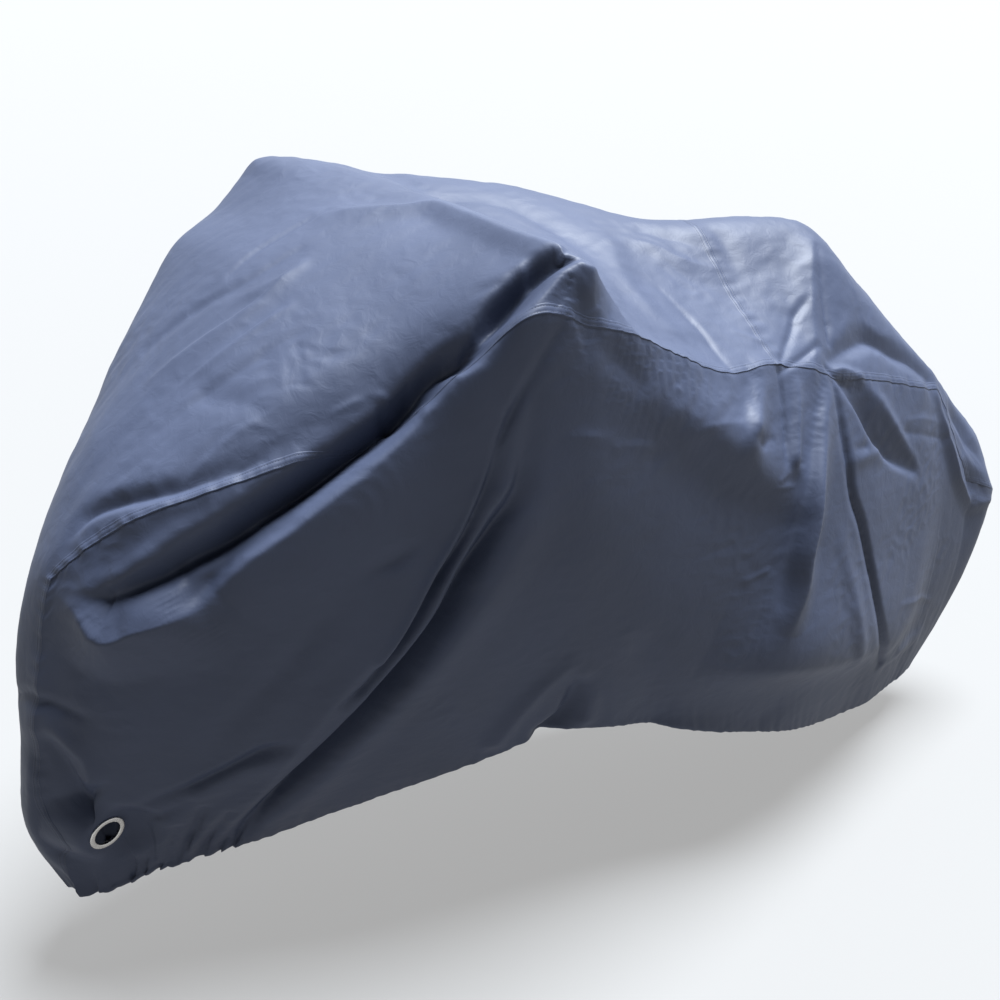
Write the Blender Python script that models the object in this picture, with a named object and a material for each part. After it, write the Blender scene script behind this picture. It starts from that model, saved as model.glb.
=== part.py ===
"""Bicycle cover, draped as it hangs over a standing bicycle, which is left out.

The cover is a hollow tent of coated cloth: two side panels, a centre panel in two lengths (crown and
tail) and the lower front corners that hold the lock eyelets. X runs from the front wheel to the back
one, -Y is the bicycle's left side, and +Z is up. The tables measure from the middle of the cover's
ground, and the model's origin is the mount under the cloth over the middle of the handlebar.
"""

from collections import namedtuple
import math

import bmesh
import bpy
import numpy as np

# ---------------------------------------------------------------- driving sizes, in metres
SHEET = 0.0016            # thickness of the coated cloth
SEAM_INSET = 0.0002       # each panel stops this far from a seam, so two panels are about 0.3 mm apart
ORIGIN = np.array((-0.262, 0.0, 1.080))    # over the middle of the handlebar, 7 mm under the cloth

EYELET_OUTER = 0.0280     # radius of the grommet's flange
EYELET_BORE = 0.0205      # radius of the hole that the lock's cable goes through
EYELET_BARREL = 0.0014    # wall of the grommet's barrel
FLANGE = 0.0013           # thickness of each flange
EYELET_GAP = 0.0003       # clearance between grommet and cloth
EYELET_FLAT = 0.034       # the cloth is flat within this radius of the eyelet's centre
EYELET_FADE = 0.040       # and eases back into its drape over this distance
EYELET_STEPS = 28         # facets round the grommet
FLANGE_ROUND = 0.45       # its rounding, as a share of its thickness
STRIP_FINER = 3           # the lock strips' facets are this many times finer

LOCK_STATION = 2          # the lock strip runs from the front gusset to this station
LOCK_TOP = 0.60           # and from this fraction of the side's height down to the hem

HEIGHT_STEPS = 21         # facets from the side seam down to the hem
HEIGHT_CROWDING = 1.35    # how much closer they are near the seam
ACROSS_STEPS = 12         # facets across the centre panel
CROSS_SEAM = 12           # station at which the crown panel meets the tail panel
TAIL_CORNER = 20          # station at which the side seam turns across the back
GUSSET_ROWS = 4           # rows of the gusset table below the corner
SPAN_STEPS = {9: 3, 10: 4, 11: 3, 12: 3, 19: 1, 20: 3, 21: 3}    # facets after a station, where not 2

# ---------------------------------------------------------------- how the cover hangs
# A side panel's stations, from the front gusset round to the centre back: the side seam's point, the
# hem's point, how far the cloth bellies out between them, and how far it leans along X.
Station = namedtuple("Station", "seam_x seam_y seam_z hem_x hem_y hem_z belly lean")

LEFT = [
    Station(-0.853, -0.095, 0.655, -0.862, -0.048, 0.118, 0.000, -0.037),
    Station(-0.797, -0.145, 0.718, -0.815, -0.060, 0.125, 0.030, -0.028),
    Station(-0.740, -0.190, 0.761, -0.763, -0.075, 0.140, 0.045, -0.015),
    Station(-0.665, -0.225, 0.790, -0.685, -0.085, 0.151, 0.055, -0.005),
    Station(-0.590, -0.250, 0.814, -0.591, -0.100, 0.163, 0.065, 0.000),
    Station(-0.503, -0.275, 0.841, -0.486, -0.125, 0.192, 0.070, 0.000),
    Station(-0.416, -0.297, 0.875, -0.382, -0.155, 0.220, 0.075, 0.000),
    Station(-0.350, -0.340, 0.945, -0.276, -0.200, 0.262, 0.058, 0.000),
    Station(-0.285, -0.372, 1.005, -0.215, -0.240, 0.302, 0.035, 0.000),
    Station(-0.204, -0.375, 0.989, -0.150, -0.255, 0.313, 0.030, 0.000),
    Station(-0.089, -0.340, 0.929, -0.020, -0.264, 0.284, 0.030, 0.000),
    Station(0.069, -0.290, 0.855, 0.150, -0.248, 0.219, 0.040, 0.000),
    Station(0.212, -0.240, 0.834, 0.300, -0.215, 0.162, 0.060, 0.000),
    Station(0.345, -0.210, 0.787, 0.415, -0.170, 0.122, 0.060, 0.000),
    Station(0.425, -0.185, 0.764, 0.500, -0.135, 0.100, 0.060, 0.000),
    Station(0.520, -0.150, 0.733, 0.570, -0.118, 0.093, 0.050, 0.004),
    Station(0.624, -0.115, 0.697, 0.620, -0.100, 0.094, 0.040, 0.010),
    Station(0.688, -0.085, 0.671, 0.662, -0.082, 0.093, 0.030, 0.020),
    Station(0.742, -0.080, 0.580, 0.695, -0.070, 0.092, 0.018, 0.026),
    Station(0.785, -0.072, 0.510, 0.722, -0.055, 0.091, 0.012, 0.030),
    Station(0.803, -0.065, 0.475, 0.744, -0.042, 0.090, 0.010, 0.033),
    Station(0.890, -0.049, 0.437, 0.762, -0.024, 0.090, 0.005, 0.029),
    Station(0.940, 0.000, 0.411, 0.770, 0.000, 0.090, 0.000, 0.031),
]

RIGHT = [
    Station(-0.838, 0.060, 0.632, -0.857, 0.030, 0.118, 0.000, -0.037),
    Station(-0.785, 0.108, 0.700, -0.812, 0.048, 0.126, 0.026, -0.028),
    Station(-0.715, 0.165, 0.745, -0.755, 0.066, 0.138, 0.042, -0.015),
    Station(-0.640, 0.220, 0.812, -0.680, 0.084, 0.150, 0.050, -0.005),
    Station(-0.585, 0.258, 0.868, -0.598, 0.102, 0.160, 0.052, 0.000),
    Station(-0.530, 0.300, 0.928, -0.505, 0.130, 0.185, 0.055, 0.000),
    Station(-0.475, 0.340, 0.978, -0.420, 0.165, 0.215, 0.055, 0.000),
    Station(-0.430, 0.372, 1.018, -0.330, 0.205, 0.250, 0.050, 0.000),
    Station(-0.385, 0.385, 1.030, -0.245, 0.235, 0.275, 0.040, 0.000),
    Station(-0.318, 0.375, 1.000, -0.160, 0.250, 0.288, 0.035, 0.000),
    Station(-0.165, 0.342, 0.950, -0.030, 0.255, 0.272, 0.035, 0.000),
    Station(0.040, 0.290, 0.888, 0.130, 0.240, 0.230, 0.040, 0.000),
    Station(0.212, 0.240, 0.840, 0.280, 0.210, 0.178, 0.050, 0.000),
    Station(0.345, 0.208, 0.792, 0.405, 0.172, 0.130, 0.052, 0.000),
    Station(0.425, 0.184, 0.768, 0.490, 0.142, 0.106, 0.050, 0.000),
    Station(0.520, 0.150, 0.736, 0.565, 0.118, 0.095, 0.046, 0.004),
    Station(0.624, 0.116, 0.698, 0.628, 0.098, 0.089, 0.038, 0.010),
    Station(0.688, 0.090, 0.668, 0.672, 0.080, 0.086, 0.028, 0.022),
    Station(0.742, 0.082, 0.584, 0.704, 0.068, 0.084, 0.018, 0.030),
    Station(0.785, 0.074, 0.512, 0.730, 0.054, 0.083, 0.012, 0.033),
    Station(0.803, 0.067, 0.477, 0.750, 0.040, 0.083, 0.010, 0.036),
    Station(0.890, 0.049, 0.437, 0.762, 0.024, 0.090, 0.005, 0.029),
    Station(0.940, 0.000, 0.411, 0.770, 0.000, 0.090, 0.000, 0.031),
]

# The centre panel between the seams: a point on its left shoulder, its ridge and its right shoulder.
# The gusset's rows come first, from the hem up, then one row for each station up to the tail corner.
Row = namedtuple("Row", "left_x left_y left_z ridge_x ridge_y ridge_z right_x right_y right_z")

CENTRE = [
    Row(-0.868, -0.030, 0.122, -0.873, -0.010, 0.120, -0.866, 0.012, 0.122),
    Row(-0.914, -0.040, 0.240, -0.920, -0.014, 0.240, -0.911, 0.012, 0.240),
    Row(-0.905, -0.048, 0.385, -0.910, -0.016, 0.385, -0.900, 0.014, 0.383),
    Row(-0.893, -0.055, 0.520, -0.900, -0.018, 0.520, -0.887, 0.018, 0.515),
    Row(-0.864, -0.062, 0.650, -0.868, -0.020, 0.640, -0.854, 0.024, 0.634),
    Row(-0.803, -0.098, 0.740, -0.810, -0.010, 0.742, -0.800, 0.060, 0.728),
    Row(-0.742, -0.140, 0.790, -0.750, 0.000, 0.817, -0.737, 0.118, 0.796),
    Row(-0.663, -0.170, 0.843, -0.670, 0.000, 0.890, -0.671, 0.166, 0.880),
    Row(-0.588, -0.200, 0.884, -0.597, 0.000, 0.950, -0.616, 0.207, 0.942),
    Row(-0.504, -0.225, 0.924, -0.512, 0.000, 1.004, -0.555, 0.252, 0.999),
    Row(-0.420, -0.250, 0.963, -0.436, 0.000, 1.042, -0.478, 0.292, 1.036),
    Row(-0.345, -0.285, 1.010, -0.372, 0.000, 1.066, -0.428, 0.322, 1.072),
    Row(-0.272, -0.332, 1.048, -0.315, 0.000, 1.079, -0.394, 0.336, 1.098),
    Row(-0.214, -0.366, 1.062, -0.262, 0.000, 1.088, -0.352, 0.326, 1.098),
    Row(-0.102, -0.205, 0.990, -0.135, 0.000, 1.052, -0.200, 0.255, 1.072),
    Row(0.060, -0.150, 0.938, 0.050, 0.000, 1.018, 0.010, 0.150, 1.036),
    Row(0.207, -0.110, 0.924, 0.205, 0.000, 1.005, 0.206, 0.118, 0.935),
    Row(0.350, -0.092, 0.935, 0.345, 0.000, 0.998, 0.350, 0.092, 0.938),
    Row(0.420, -0.080, 0.942, 0.430, 0.000, 0.980, 0.420, 0.080, 0.944),
    Row(0.499, -0.082, 0.872, 0.507, 0.000, 0.903, 0.499, 0.074, 0.878),
    Row(0.616, -0.076, 0.764, 0.620, 0.000, 0.786, 0.616, 0.066, 0.772),
    Row(0.705, -0.062, 0.690, 0.712, 0.000, 0.700, 0.705, 0.058, 0.692),
    Row(0.779, -0.040, 0.616, 0.791, 0.000, 0.624, 0.779, 0.042, 0.618),
    Row(0.850, -0.038, 0.531, 0.871, 0.000, 0.540, 0.850, 0.040, 0.532),
    Row(0.890, -0.049, 0.437, 0.940, 0.000, 0.411, 0.890, 0.049, 0.437),
]

# Folds. Each one is a ridge along a route of bends, or a trough where the height is negative. left and
# right are its half widths on either side of its way, seen from outside. A bend is a place on the cover
# and the fold's height there.
Fold = namedtuple("Fold", "left right bends")

FOLDS = [
    # the pleat that hangs from the grip down to the front, and the deep valley behind it
    Fold(0.080, 0.034, ((-0.220, -0.370, 1.060, 0.003), (-0.255, -0.365, 1.030, 0.015),
                        (-0.310, -0.360, 0.985, 0.022), (-0.345, -0.345, 0.955, 0.024),
                        (-0.395, -0.310, 0.895, 0.024), (-0.430, -0.290, 0.870, 0.024),
                        (-0.480, -0.285, 0.835, 0.024), (-0.525, -0.275, 0.800, 0.023),
                        (-0.575, -0.260, 0.770, 0.022), (-0.620, -0.250, 0.735, 0.019),
                        (-0.665, -0.235, 0.695, 0.014), (-0.695, -0.225, 0.660, 0.007))),
    Fold(0.032, 0.036, ((-0.245, -0.340, 1.065, -0.005), (-0.260, -0.330, 1.055, -0.017),
                        (-0.290, -0.335, 1.030, -0.025), (-0.340, -0.320, 0.985, -0.026),
                        (-0.380, -0.305, 0.935, -0.022), (-0.415, -0.290, 0.895, -0.013),
                        (-0.450, -0.285, 0.865, -0.003))),
    Fold(0.022, 0.020, ((-0.395, -0.305, 0.905, -0.003), (-0.420, -0.285, 0.895, -0.014),
                        (-0.470, -0.275, 0.865, -0.020), (-0.515, -0.270, 0.840, -0.020),
                        (-0.580, -0.255, 0.810, -0.020), (-0.640, -0.240, 0.770, -0.017),
                        (-0.680, -0.225, 0.735, -0.012), (-0.720, -0.210, 0.700, -0.009),
                        (-0.755, -0.190, 0.680, -0.007), (-0.790, -0.165, 0.655, -0.005),
                        (-0.820, -0.140, 0.645, -0.003))),
    Fold(0.026, 0.026, ((-0.225, -0.330, 1.070, 0.001), (-0.270, -0.320, 1.050, 0.003),
                        (-0.315, -0.305, 1.025, 0.006), (-0.330, -0.310, 1.005, 0.006),
                        (-0.345, -0.320, 0.975, 0.006), (-0.380, -0.305, 0.930, 0.006),
                        (-0.390, -0.310, 0.910, 0.003))),
    Fold(0.020, 0.024, ((-0.210, -0.370, 1.055, 0.003), (-0.185, -0.360, 1.020, 0.008),
                        (-0.160, -0.340, 0.990, 0.009), (-0.130, -0.335, 0.965, 0.008),
                        (-0.100, -0.330, 0.940, 0.003))),
    # the puff under the front corner
    Fold(0.022, 0.022, ((-0.605, -0.245, 0.795, 0.002), (-0.635, -0.240, 0.780, 0.004),
                        (-0.670, -0.225, 0.760, 0.005), (-0.705, -0.215, 0.745, 0.005),
                        (-0.735, -0.195, 0.730, 0.005), (-0.770, -0.175, 0.705, 0.005),
                        (-0.805, -0.150, 0.680, 0.004), (-0.830, -0.120, 0.660, 0.002))),
    Fold(0.034, 0.050, ((-0.850, -0.100, 0.640, 0.003), (-0.825, -0.135, 0.615, 0.012),
                        (-0.810, -0.155, 0.590, 0.017), (-0.770, -0.185, 0.605, 0.019),
                        (-0.740, -0.205, 0.620, 0.018), (-0.710, -0.215, 0.630, 0.015),
                        (-0.695, -0.225, 0.645, 0.007))),
    # the long folds from the grip to the front hem
    Fold(0.020, 0.018, ((-0.245, -0.375, 0.995, -0.001), (-0.270, -0.375, 0.950, -0.004),
                        (-0.300, -0.365, 0.895, -0.005), (-0.320, -0.355, 0.850, -0.006),
                        (-0.340, -0.345, 0.775, -0.007), (-0.370, -0.330, 0.705, -0.008),
                        (-0.400, -0.315, 0.630, -0.008), (-0.440, -0.295, 0.560, -0.006),
                        (-0.475, -0.265, 0.485, -0.003))),
    Fold(0.018, 0.018, ((-0.270, -0.370, 0.915, 0.001), (-0.310, -0.360, 0.825, 0.003),
                        (-0.340, -0.345, 0.755, 0.004), (-0.375, -0.330, 0.680, 0.005),
                        (-0.410, -0.310, 0.615, 0.005), (-0.450, -0.285, 0.540, 0.003))),
    Fold(0.025, 0.021, ((-0.270, -0.370, 0.890, -0.001), (-0.285, -0.360, 0.815, -0.006),
                        (-0.290, -0.355, 0.760, -0.012), (-0.305, -0.350, 0.730, -0.019),
                        (-0.335, -0.335, 0.655, -0.022), (-0.360, -0.315, 0.580, -0.023),
                        (-0.420, -0.280, 0.480, -0.023), (-0.480, -0.235, 0.390, -0.021),
                        (-0.540, -0.185, 0.300, -0.019), (-0.600, -0.135, 0.225, -0.015),
                        (-0.640, -0.100, 0.170, -0.009))),
    Fold(0.034, 0.024, ((-0.245, -0.355, 0.745, 0.003), (-0.285, -0.340, 0.645, 0.008),
                        (-0.360, -0.305, 0.530, 0.009), (-0.430, -0.255, 0.420, 0.009),
                        (-0.500, -0.190, 0.305, 0.008), (-0.560, -0.140, 0.220, 0.004))),
    Fold(0.020, 0.030, ((-0.460, -0.285, 0.545, 0.003), (-0.515, -0.255, 0.475, 0.007),
                        (-0.565, -0.215, 0.390, 0.008), (-0.610, -0.175, 0.305, 0.008),
                        (-0.645, -0.135, 0.240, 0.005))),
    Fold(0.020, 0.014, ((-0.580, -0.215, 0.390, -0.002), (-0.630, -0.200, 0.380, -0.006),
                        (-0.680, -0.175, 0.340, -0.008), (-0.745, -0.150, 0.320, -0.007),
                        (-0.790, -0.130, 0.295, -0.004))),
    Fold(0.024, 0.020, ((-0.585, -0.205, 0.365, 0.004), (-0.635, -0.185, 0.350, 0.009),
                        (-0.695, -0.160, 0.315, 0.009), (-0.740, -0.140, 0.285, 0.006))),
    # the hem over the pedals, and the swell that the back wheel gives the side
    Fold(0.020, 0.020, ((-0.180, -0.295, 0.450, 0.005), (-0.215, -0.280, 0.410, 0.008),
                        (-0.245, -0.260, 0.365, 0.009), (-0.265, -0.225, 0.310, 0.009))),
    Fold(0.022, 0.020, ((-0.155, -0.285, 0.405, -0.008), (-0.170, -0.270, 0.360, -0.014),
                        (-0.190, -0.250, 0.315, -0.016))),
    Fold(0.020, 0.020, ((-0.155, -0.295, 0.435, 0.004), (-0.135, -0.280, 0.380, 0.008),
                        (-0.130, -0.265, 0.330, 0.008))),
    Fold(0.040, 0.040, ((-0.035, -0.300, 0.420, -0.005), (0.000, -0.265, 0.285, -0.009))),
    Fold(0.150, 0.045, ((0.055, -0.295, 0.385, 0.004), (0.140, -0.285, 0.370, 0.016),
                        (0.240, -0.275, 0.345, 0.028), (0.390, -0.230, 0.305, 0.030),
                        (0.555, -0.165, 0.265, 0.022))),
    Fold(0.060, 0.034, ((-0.030, -0.265, 0.295, -0.006), (0.090, -0.265, 0.275, -0.008),
                        (0.225, -0.245, 0.220, -0.008))),
    # the shoulder and the upright folds below the saddle
    Fold(0.060, 0.034, ((-0.165, -0.365, 0.925, 0.004), (-0.115, -0.355, 0.880, 0.010),
                        (-0.040, -0.335, 0.835, 0.017), (0.030, -0.315, 0.795, 0.022),
                        (0.095, -0.300, 0.745, 0.022), (0.165, -0.295, 0.690, 0.014))),
    Fold(0.026, 0.022, ((0.325, -0.220, 0.780, 0.005), (0.300, -0.245, 0.715, 0.013),
                        (0.290, -0.265, 0.635, 0.019), (0.275, -0.280, 0.580, 0.021),
                        (0.265, -0.285, 0.535, 0.020), (0.255, -0.290, 0.500, 0.018),
                        (0.245, -0.290, 0.460, 0.012), (0.225, -0.290, 0.420, 0.004))),
    Fold(0.020, 0.020, ((0.315, -0.220, 0.785, -0.002), (0.295, -0.245, 0.725, -0.004),
                        (0.275, -0.270, 0.645, -0.005), (0.255, -0.285, 0.580, -0.005),
                        (0.245, -0.290, 0.520, -0.004), (0.220, -0.290, 0.460, -0.002))),
    Fold(0.020, 0.020, ((0.345, -0.210, 0.780, -0.005), (0.355, -0.235, 0.695, -0.008),
                        (0.375, -0.245, 0.595, -0.010), (0.405, -0.240, 0.540, -0.010),
                        (0.430, -0.230, 0.460, -0.010), (0.465, -0.215, 0.365, -0.009),
                        (0.510, -0.185, 0.275, -0.008), (0.550, -0.160, 0.210, -0.005))),
    Fold(0.020, 0.020, ((0.345, -0.260, 0.525, 0.002), (0.370, -0.250, 0.450, 0.005),
                        (0.400, -0.235, 0.360, 0.006), (0.430, -0.210, 0.265, 0.005))),
    # the wedge below the rear seam, the hollow above it, and the rear corner
    Fold(0.022, 0.020, ((0.370, -0.205, 0.770, -0.006), (0.430, -0.190, 0.740, -0.014),
                        (0.485, -0.180, 0.685, -0.018), (0.525, -0.175, 0.635, -0.016),
                        (0.565, -0.165, 0.585, -0.010), (0.605, -0.150, 0.560, -0.003))),
    Fold(0.022, 0.022, ((0.350, -0.190, 0.810, -0.004), (0.415, -0.160, 0.820, -0.010),
                        (0.475, -0.130, 0.815, -0.014), (0.545, -0.115, 0.780, -0.013),
                        (0.605, -0.100, 0.745, -0.010), (0.670, -0.085, 0.690, -0.004))),
    Fold(0.022, 0.020, ((0.680, -0.090, 0.665, 0.004), (0.700, -0.090, 0.615, 0.007),
                        (0.730, -0.090, 0.555, 0.010), (0.755, -0.085, 0.500, 0.010),
                        (0.785, -0.075, 0.460, 0.010), (0.825, -0.065, 0.415, 0.006))),
    # the saddle, and the top along the handlebar
    Fold(0.020, 0.030, ((0.410, -0.055, 0.965, 0.003), (0.385, -0.085, 0.940, 0.006),
                        (0.355, -0.125, 0.895, 0.008), (0.340, -0.150, 0.865, 0.008),
                        (0.320, -0.185, 0.835, 0.007), (0.295, -0.215, 0.810, 0.003))),
    Fold(0.026, 0.026, ((-0.390, 0.040, 1.065, 0.002), (-0.350, 0.005, 1.070, 0.006),
                        (-0.315, -0.045, 1.075, 0.008), (-0.275, -0.130, 1.075, 0.009),
                        (-0.255, -0.215, 1.075, 0.009), (-0.240, -0.305, 1.070, 0.008),
                        (-0.230, -0.350, 1.065, 0.004))),
    Fold(0.034, 0.030, ((-0.270, 0.055, 1.090, -0.002), (-0.175, 0.085, 1.070, -0.007),
                        (-0.095, 0.045, 1.050, -0.009), (-0.055, -0.035, 1.025, -0.008),
                        (-0.035, -0.090, 1.000, -0.004))),
    # the far side
    Fold(0.026, 0.026, ((-0.400, 0.380, 1.000, 0.008), (-0.470, 0.345, 0.935, 0.028),
                         (-0.560, 0.280, 0.855, 0.030), (-0.660, 0.210, 0.765, 0.014))),
    Fold(0.026, 0.026, ((-0.430, 0.375, 1.040, -0.010), (-0.520, 0.315, 0.960, -0.022),
                         (-0.620, 0.245, 0.868, -0.020), (-0.700, 0.195, 0.800, -0.008))),
    Fold(0.030, 0.030, ((-0.400, 0.380, 0.930, -0.006), (-0.450, 0.340, 0.750, -0.018),
                         (-0.540, 0.250, 0.520, -0.020), (-0.640, 0.155, 0.300, -0.008))),
    Fold(0.024, 0.024, ((-0.350, 0.385, 0.930, 0.006), (-0.380, 0.360, 0.750, 0.014),
                         (-0.450, 0.295, 0.550, 0.014), (-0.530, 0.205, 0.360, 0.006))),
    Fold(0.030, 0.030, ((-0.110, 0.300, 0.430, -0.008), (-0.160, 0.265, 0.320, -0.012))),
    Fold(0.022, 0.020, ((0.285, 0.230, 0.780, 0.010), (0.262, 0.270, 0.620, 0.016),
                         (0.220, 0.270, 0.420, 0.005))),
    Fold(0.020, 0.024, ((0.372, 0.205, 0.765, -0.010), (0.420, 0.225, 0.550, -0.016),
                         (0.500, 0.185, 0.280, -0.006))),
    Fold(0.024, 0.024, ((0.450, 0.190, 0.705, -0.012), (0.560, 0.160, 0.605, -0.014),
                         (0.640, 0.140, 0.500, -0.005))),
    # across the crown
    Fold(0.030, 0.030, ((-0.235, 0.230, 1.085, -0.010), (-0.200, 0.080, 1.075, -0.012),
                         (-0.150, -0.060, 1.050, -0.008))),
    Fold(0.024, 0.024, ((0.020, -0.060, 1.000, 0.006), (-0.010, -0.150, 0.960, 0.008),
                         (0.010, -0.235, 0.915, 0.006))),
]

# Lock eyelets: centre, and the direction that the flange faces.
Eyelet = namedtuple("Eyelet", "x y z face_x face_y face_z")

EYELETS = {
    "left": Eyelet(-0.822, -0.098, 0.247, 0.28, -0.92, -0.27),
    "right": Eyelet(-0.815, 0.086, 0.247, 0.10, 0.97, -0.20),
}

SPINE_FRONT = np.array((-0.50, 0.0, 0.55))     # the folds stand away from a line between
SPINE_BACK = np.array((0.60, 0.0, 0.50))       # these two points inside the cover
DOWNWARD = 0.15           # share of the downward part kept, so that the folds near the hem stand level
FOLD_DEPTH = 0.06         # a fold lifts only the cloth that is within this depth of its route
FIELD_SHARE = 0.35        # share of the outward field in the direction that gives the cloth its thickness


# ---------------------------------------------------------------- the draped surface
def unit(vector):
    vector = np.asarray(vector, float)
    return vector / np.linalg.norm(vector)


def ease(value):
    """0 below 0, 1 above 1, smooth between."""
    value = min(max(value, 0.0), 1.0)
    return value * value * (3 - 2 * value)


def hermite(start, slope_start, end, slope_end, part):
    """Place a part of the way from start to end, with the slopes given at both."""
    square, cube = part * part, part ** 3
    return ((2 * cube - 3 * square + 1) * start + (cube - 2 * square + part) * slope_start
            + (3 * square - 2 * cube) * end + (cube - square) * slope_end)


def along(points, where):
    """Point at a place counted in steps along a smooth curve through the points."""
    last = len(points) - 1
    index = min(max(int(math.floor(where)), 0), last - 1)
    legs = points[1:] - points[:-1]
    spans = np.maximum(np.linalg.norm(legs, axis=1), 1e-9)

    def slope(knot):
        if knot in (0, last):
            return legs[index]
        way = unit(legs[knot - 1] / spans[knot - 1] + legs[knot] / spans[knot])
        return way * min(spans[knot - 1], spans[knot])

    return hermite(points[index], slope(index), points[index + 1], slope(index + 1), where - index)


def value_along(values, where):
    """A table's values at a place counted in rows, eased from one row to the next."""
    last = len(values) - 1
    index = min(max(int(math.floor(where)), 0), last - 1)
    before, after = values[max(index - 1, 0)], values[min(index + 2, last)]
    start, end = values[index], values[index + 1]
    return hermite(start, (end - before) / 2, end, (after - start) / 2, where - index)


class Side:
    """One side panel's tables as arrays, with its outward direction in Y."""

    def __init__(self, stations, eyelet, outward_y):
        self.seam = np.array([(s.seam_x, s.seam_y, s.seam_z) for s in stations])
        self.hem = np.array([(s.hem_x, s.hem_y, s.hem_z) for s in stations])
        self.bulge = np.array([(s.lean, s.belly * outward_y, 0.0) for s in stations])
        self.eyelet = np.array(eyelet[:3])
        self.face = unit(eyelet[3:])
        self.outward_y = outward_y

    def seam_point(self, station):
        if station <= TAIL_CORNER:
            return along(self.seam[:TAIL_CORNER + 1], station)
        return along(self.seam[TAIL_CORNER:], station - TAIL_CORNER)

    def point(self, station, down):
        """Place on the panel, down 0 at the seam and 1 at the hem."""
        top, bottom = self.seam_point(station), along(self.hem, station)
        return top + (bottom - top) * down + value_along(self.bulge, station) * 4 * down * (1 - down)


SIDES = {
    "left": Side(LEFT, EYELETS["left"], -1.0),
    "right": Side(RIGHT, EYELETS["right"], 1.0),
}
CENTRE_KNOTS = np.array(CENTRE).reshape(len(CENTRE), 3, 3)


def centre_point(row, across):
    """Place on the centre panel: row is a station, or below 0 on the gusset; across is 0 on the left."""
    left, right = SIDES["left"], SIDES["right"]
    if row < 0:
        edges = [side.point(0, -row / GUSSET_ROWS) for side in (left, right)]
    else:
        edges = [side.seam_point(row) for side in (left, right)]
    inner = [along(CENTRE_KNOTS[:, knot], row + GUSSET_ROWS) for knot in range(3)]
    place = along(np.array([edges[0], *inner, edges[1]]), 4 * across)
    near_end = ease(row - TAIL_CORNER + 1)
    if near_end > 0:
        ends = [along(CENTRE_KNOTS[:, knot], TAIL_CORNER + GUSSET_ROWS) for knot in range(3)]
        corners = [side.seam_point(TAIL_CORNER) for side in (left, right)]
        plain = along(np.array([corners[0], *ends, corners[1]]), 4 * across)
        side, part = (left, across) if across <= 0.5 else (right, 1 - across)
        place = place + near_end * (side.seam_point(TAIL_CORNER + 4 * part) - plain)
    return place


def outward(place):
    """Direction in which folds stand out of the cover at a place."""
    spine = SPINE_BACK - SPINE_FRONT
    part = min(max(np.dot(place - SPINE_FRONT, spine) / np.dot(spine, spine), 0.0), 1.0)
    away = place - (SPINE_FRONT + part * spine)
    if away[2] < 0:
        away[2] *= DOWNWARD
    return unit(away)


ROUTES = [(fold, np.array(fold.bends)) for fold in FOLDS]


def fold_height(fold, bends, place, direction):
    """How far one fold lifts the cloth at a place. Distances are taken across the outward direction."""
    starts, steps = bends[:-1, :3], np.diff(bends[:, :3], axis=0)
    gaps = place - starts
    parts = np.clip((gaps * steps).sum(axis=1) / (steps * steps).sum(axis=1), 0, 1)
    gaps = gaps - parts[:, None] * steps
    depths = gaps @ direction
    gaps = gaps - depths[:, None] * direction
    distances = np.linalg.norm(gaps, axis=1) + np.where(np.abs(depths) > FOLD_DEPTH, 1.0, 0.0)
    nearest = distances.argmin()
    on_left = np.dot(np.cross(steps[nearest], gaps[nearest]), direction) > 0
    share = distances[nearest] / (fold.left if on_left else fold.right)
    start, end = bends[nearest, 3], bends[nearest + 1, 3]
    return (start + parts[nearest] * (end - start)) * math.exp(-share ** 2)


def drape(place):
    """The cloth's place once its folds are in it and it lies flat round the eyelets."""
    side = SIDES["left"] if place[1] < 0 else SIDES["right"]
    direction = outward(place)
    place = place + direction * sum(fold_height(fold, bends, place, direction) for fold, bends in ROUTES)
    rise = np.dot(place - side.eyelet, side.face)
    distance = np.linalg.norm(place - side.eyelet - side.face * rise)
    flat = (1 - ease((distance - EYELET_FLAT) / EYELET_FADE)) * (abs(rise) < 2 * EYELET_FLAT)
    return place - side.face * rise * flat


# ---------------------------------------------------------------- grids to solids
def station_list(first, last):
    """Stations of the facets' edges: longer spans have more facets."""
    places = [float(first)]
    for span in range(first, last):
        count = SPAN_STEPS.get(span, 2)
        places += [span + (step + 1) / count for step in range(count)]
    return places


def height_list():
    """Fractions of a side panel's height at its facets' edges, from the seam down."""
    return [(step / HEIGHT_STEPS) ** HEIGHT_CROWDING for step in range(HEIGHT_STEPS + 1)]


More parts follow.
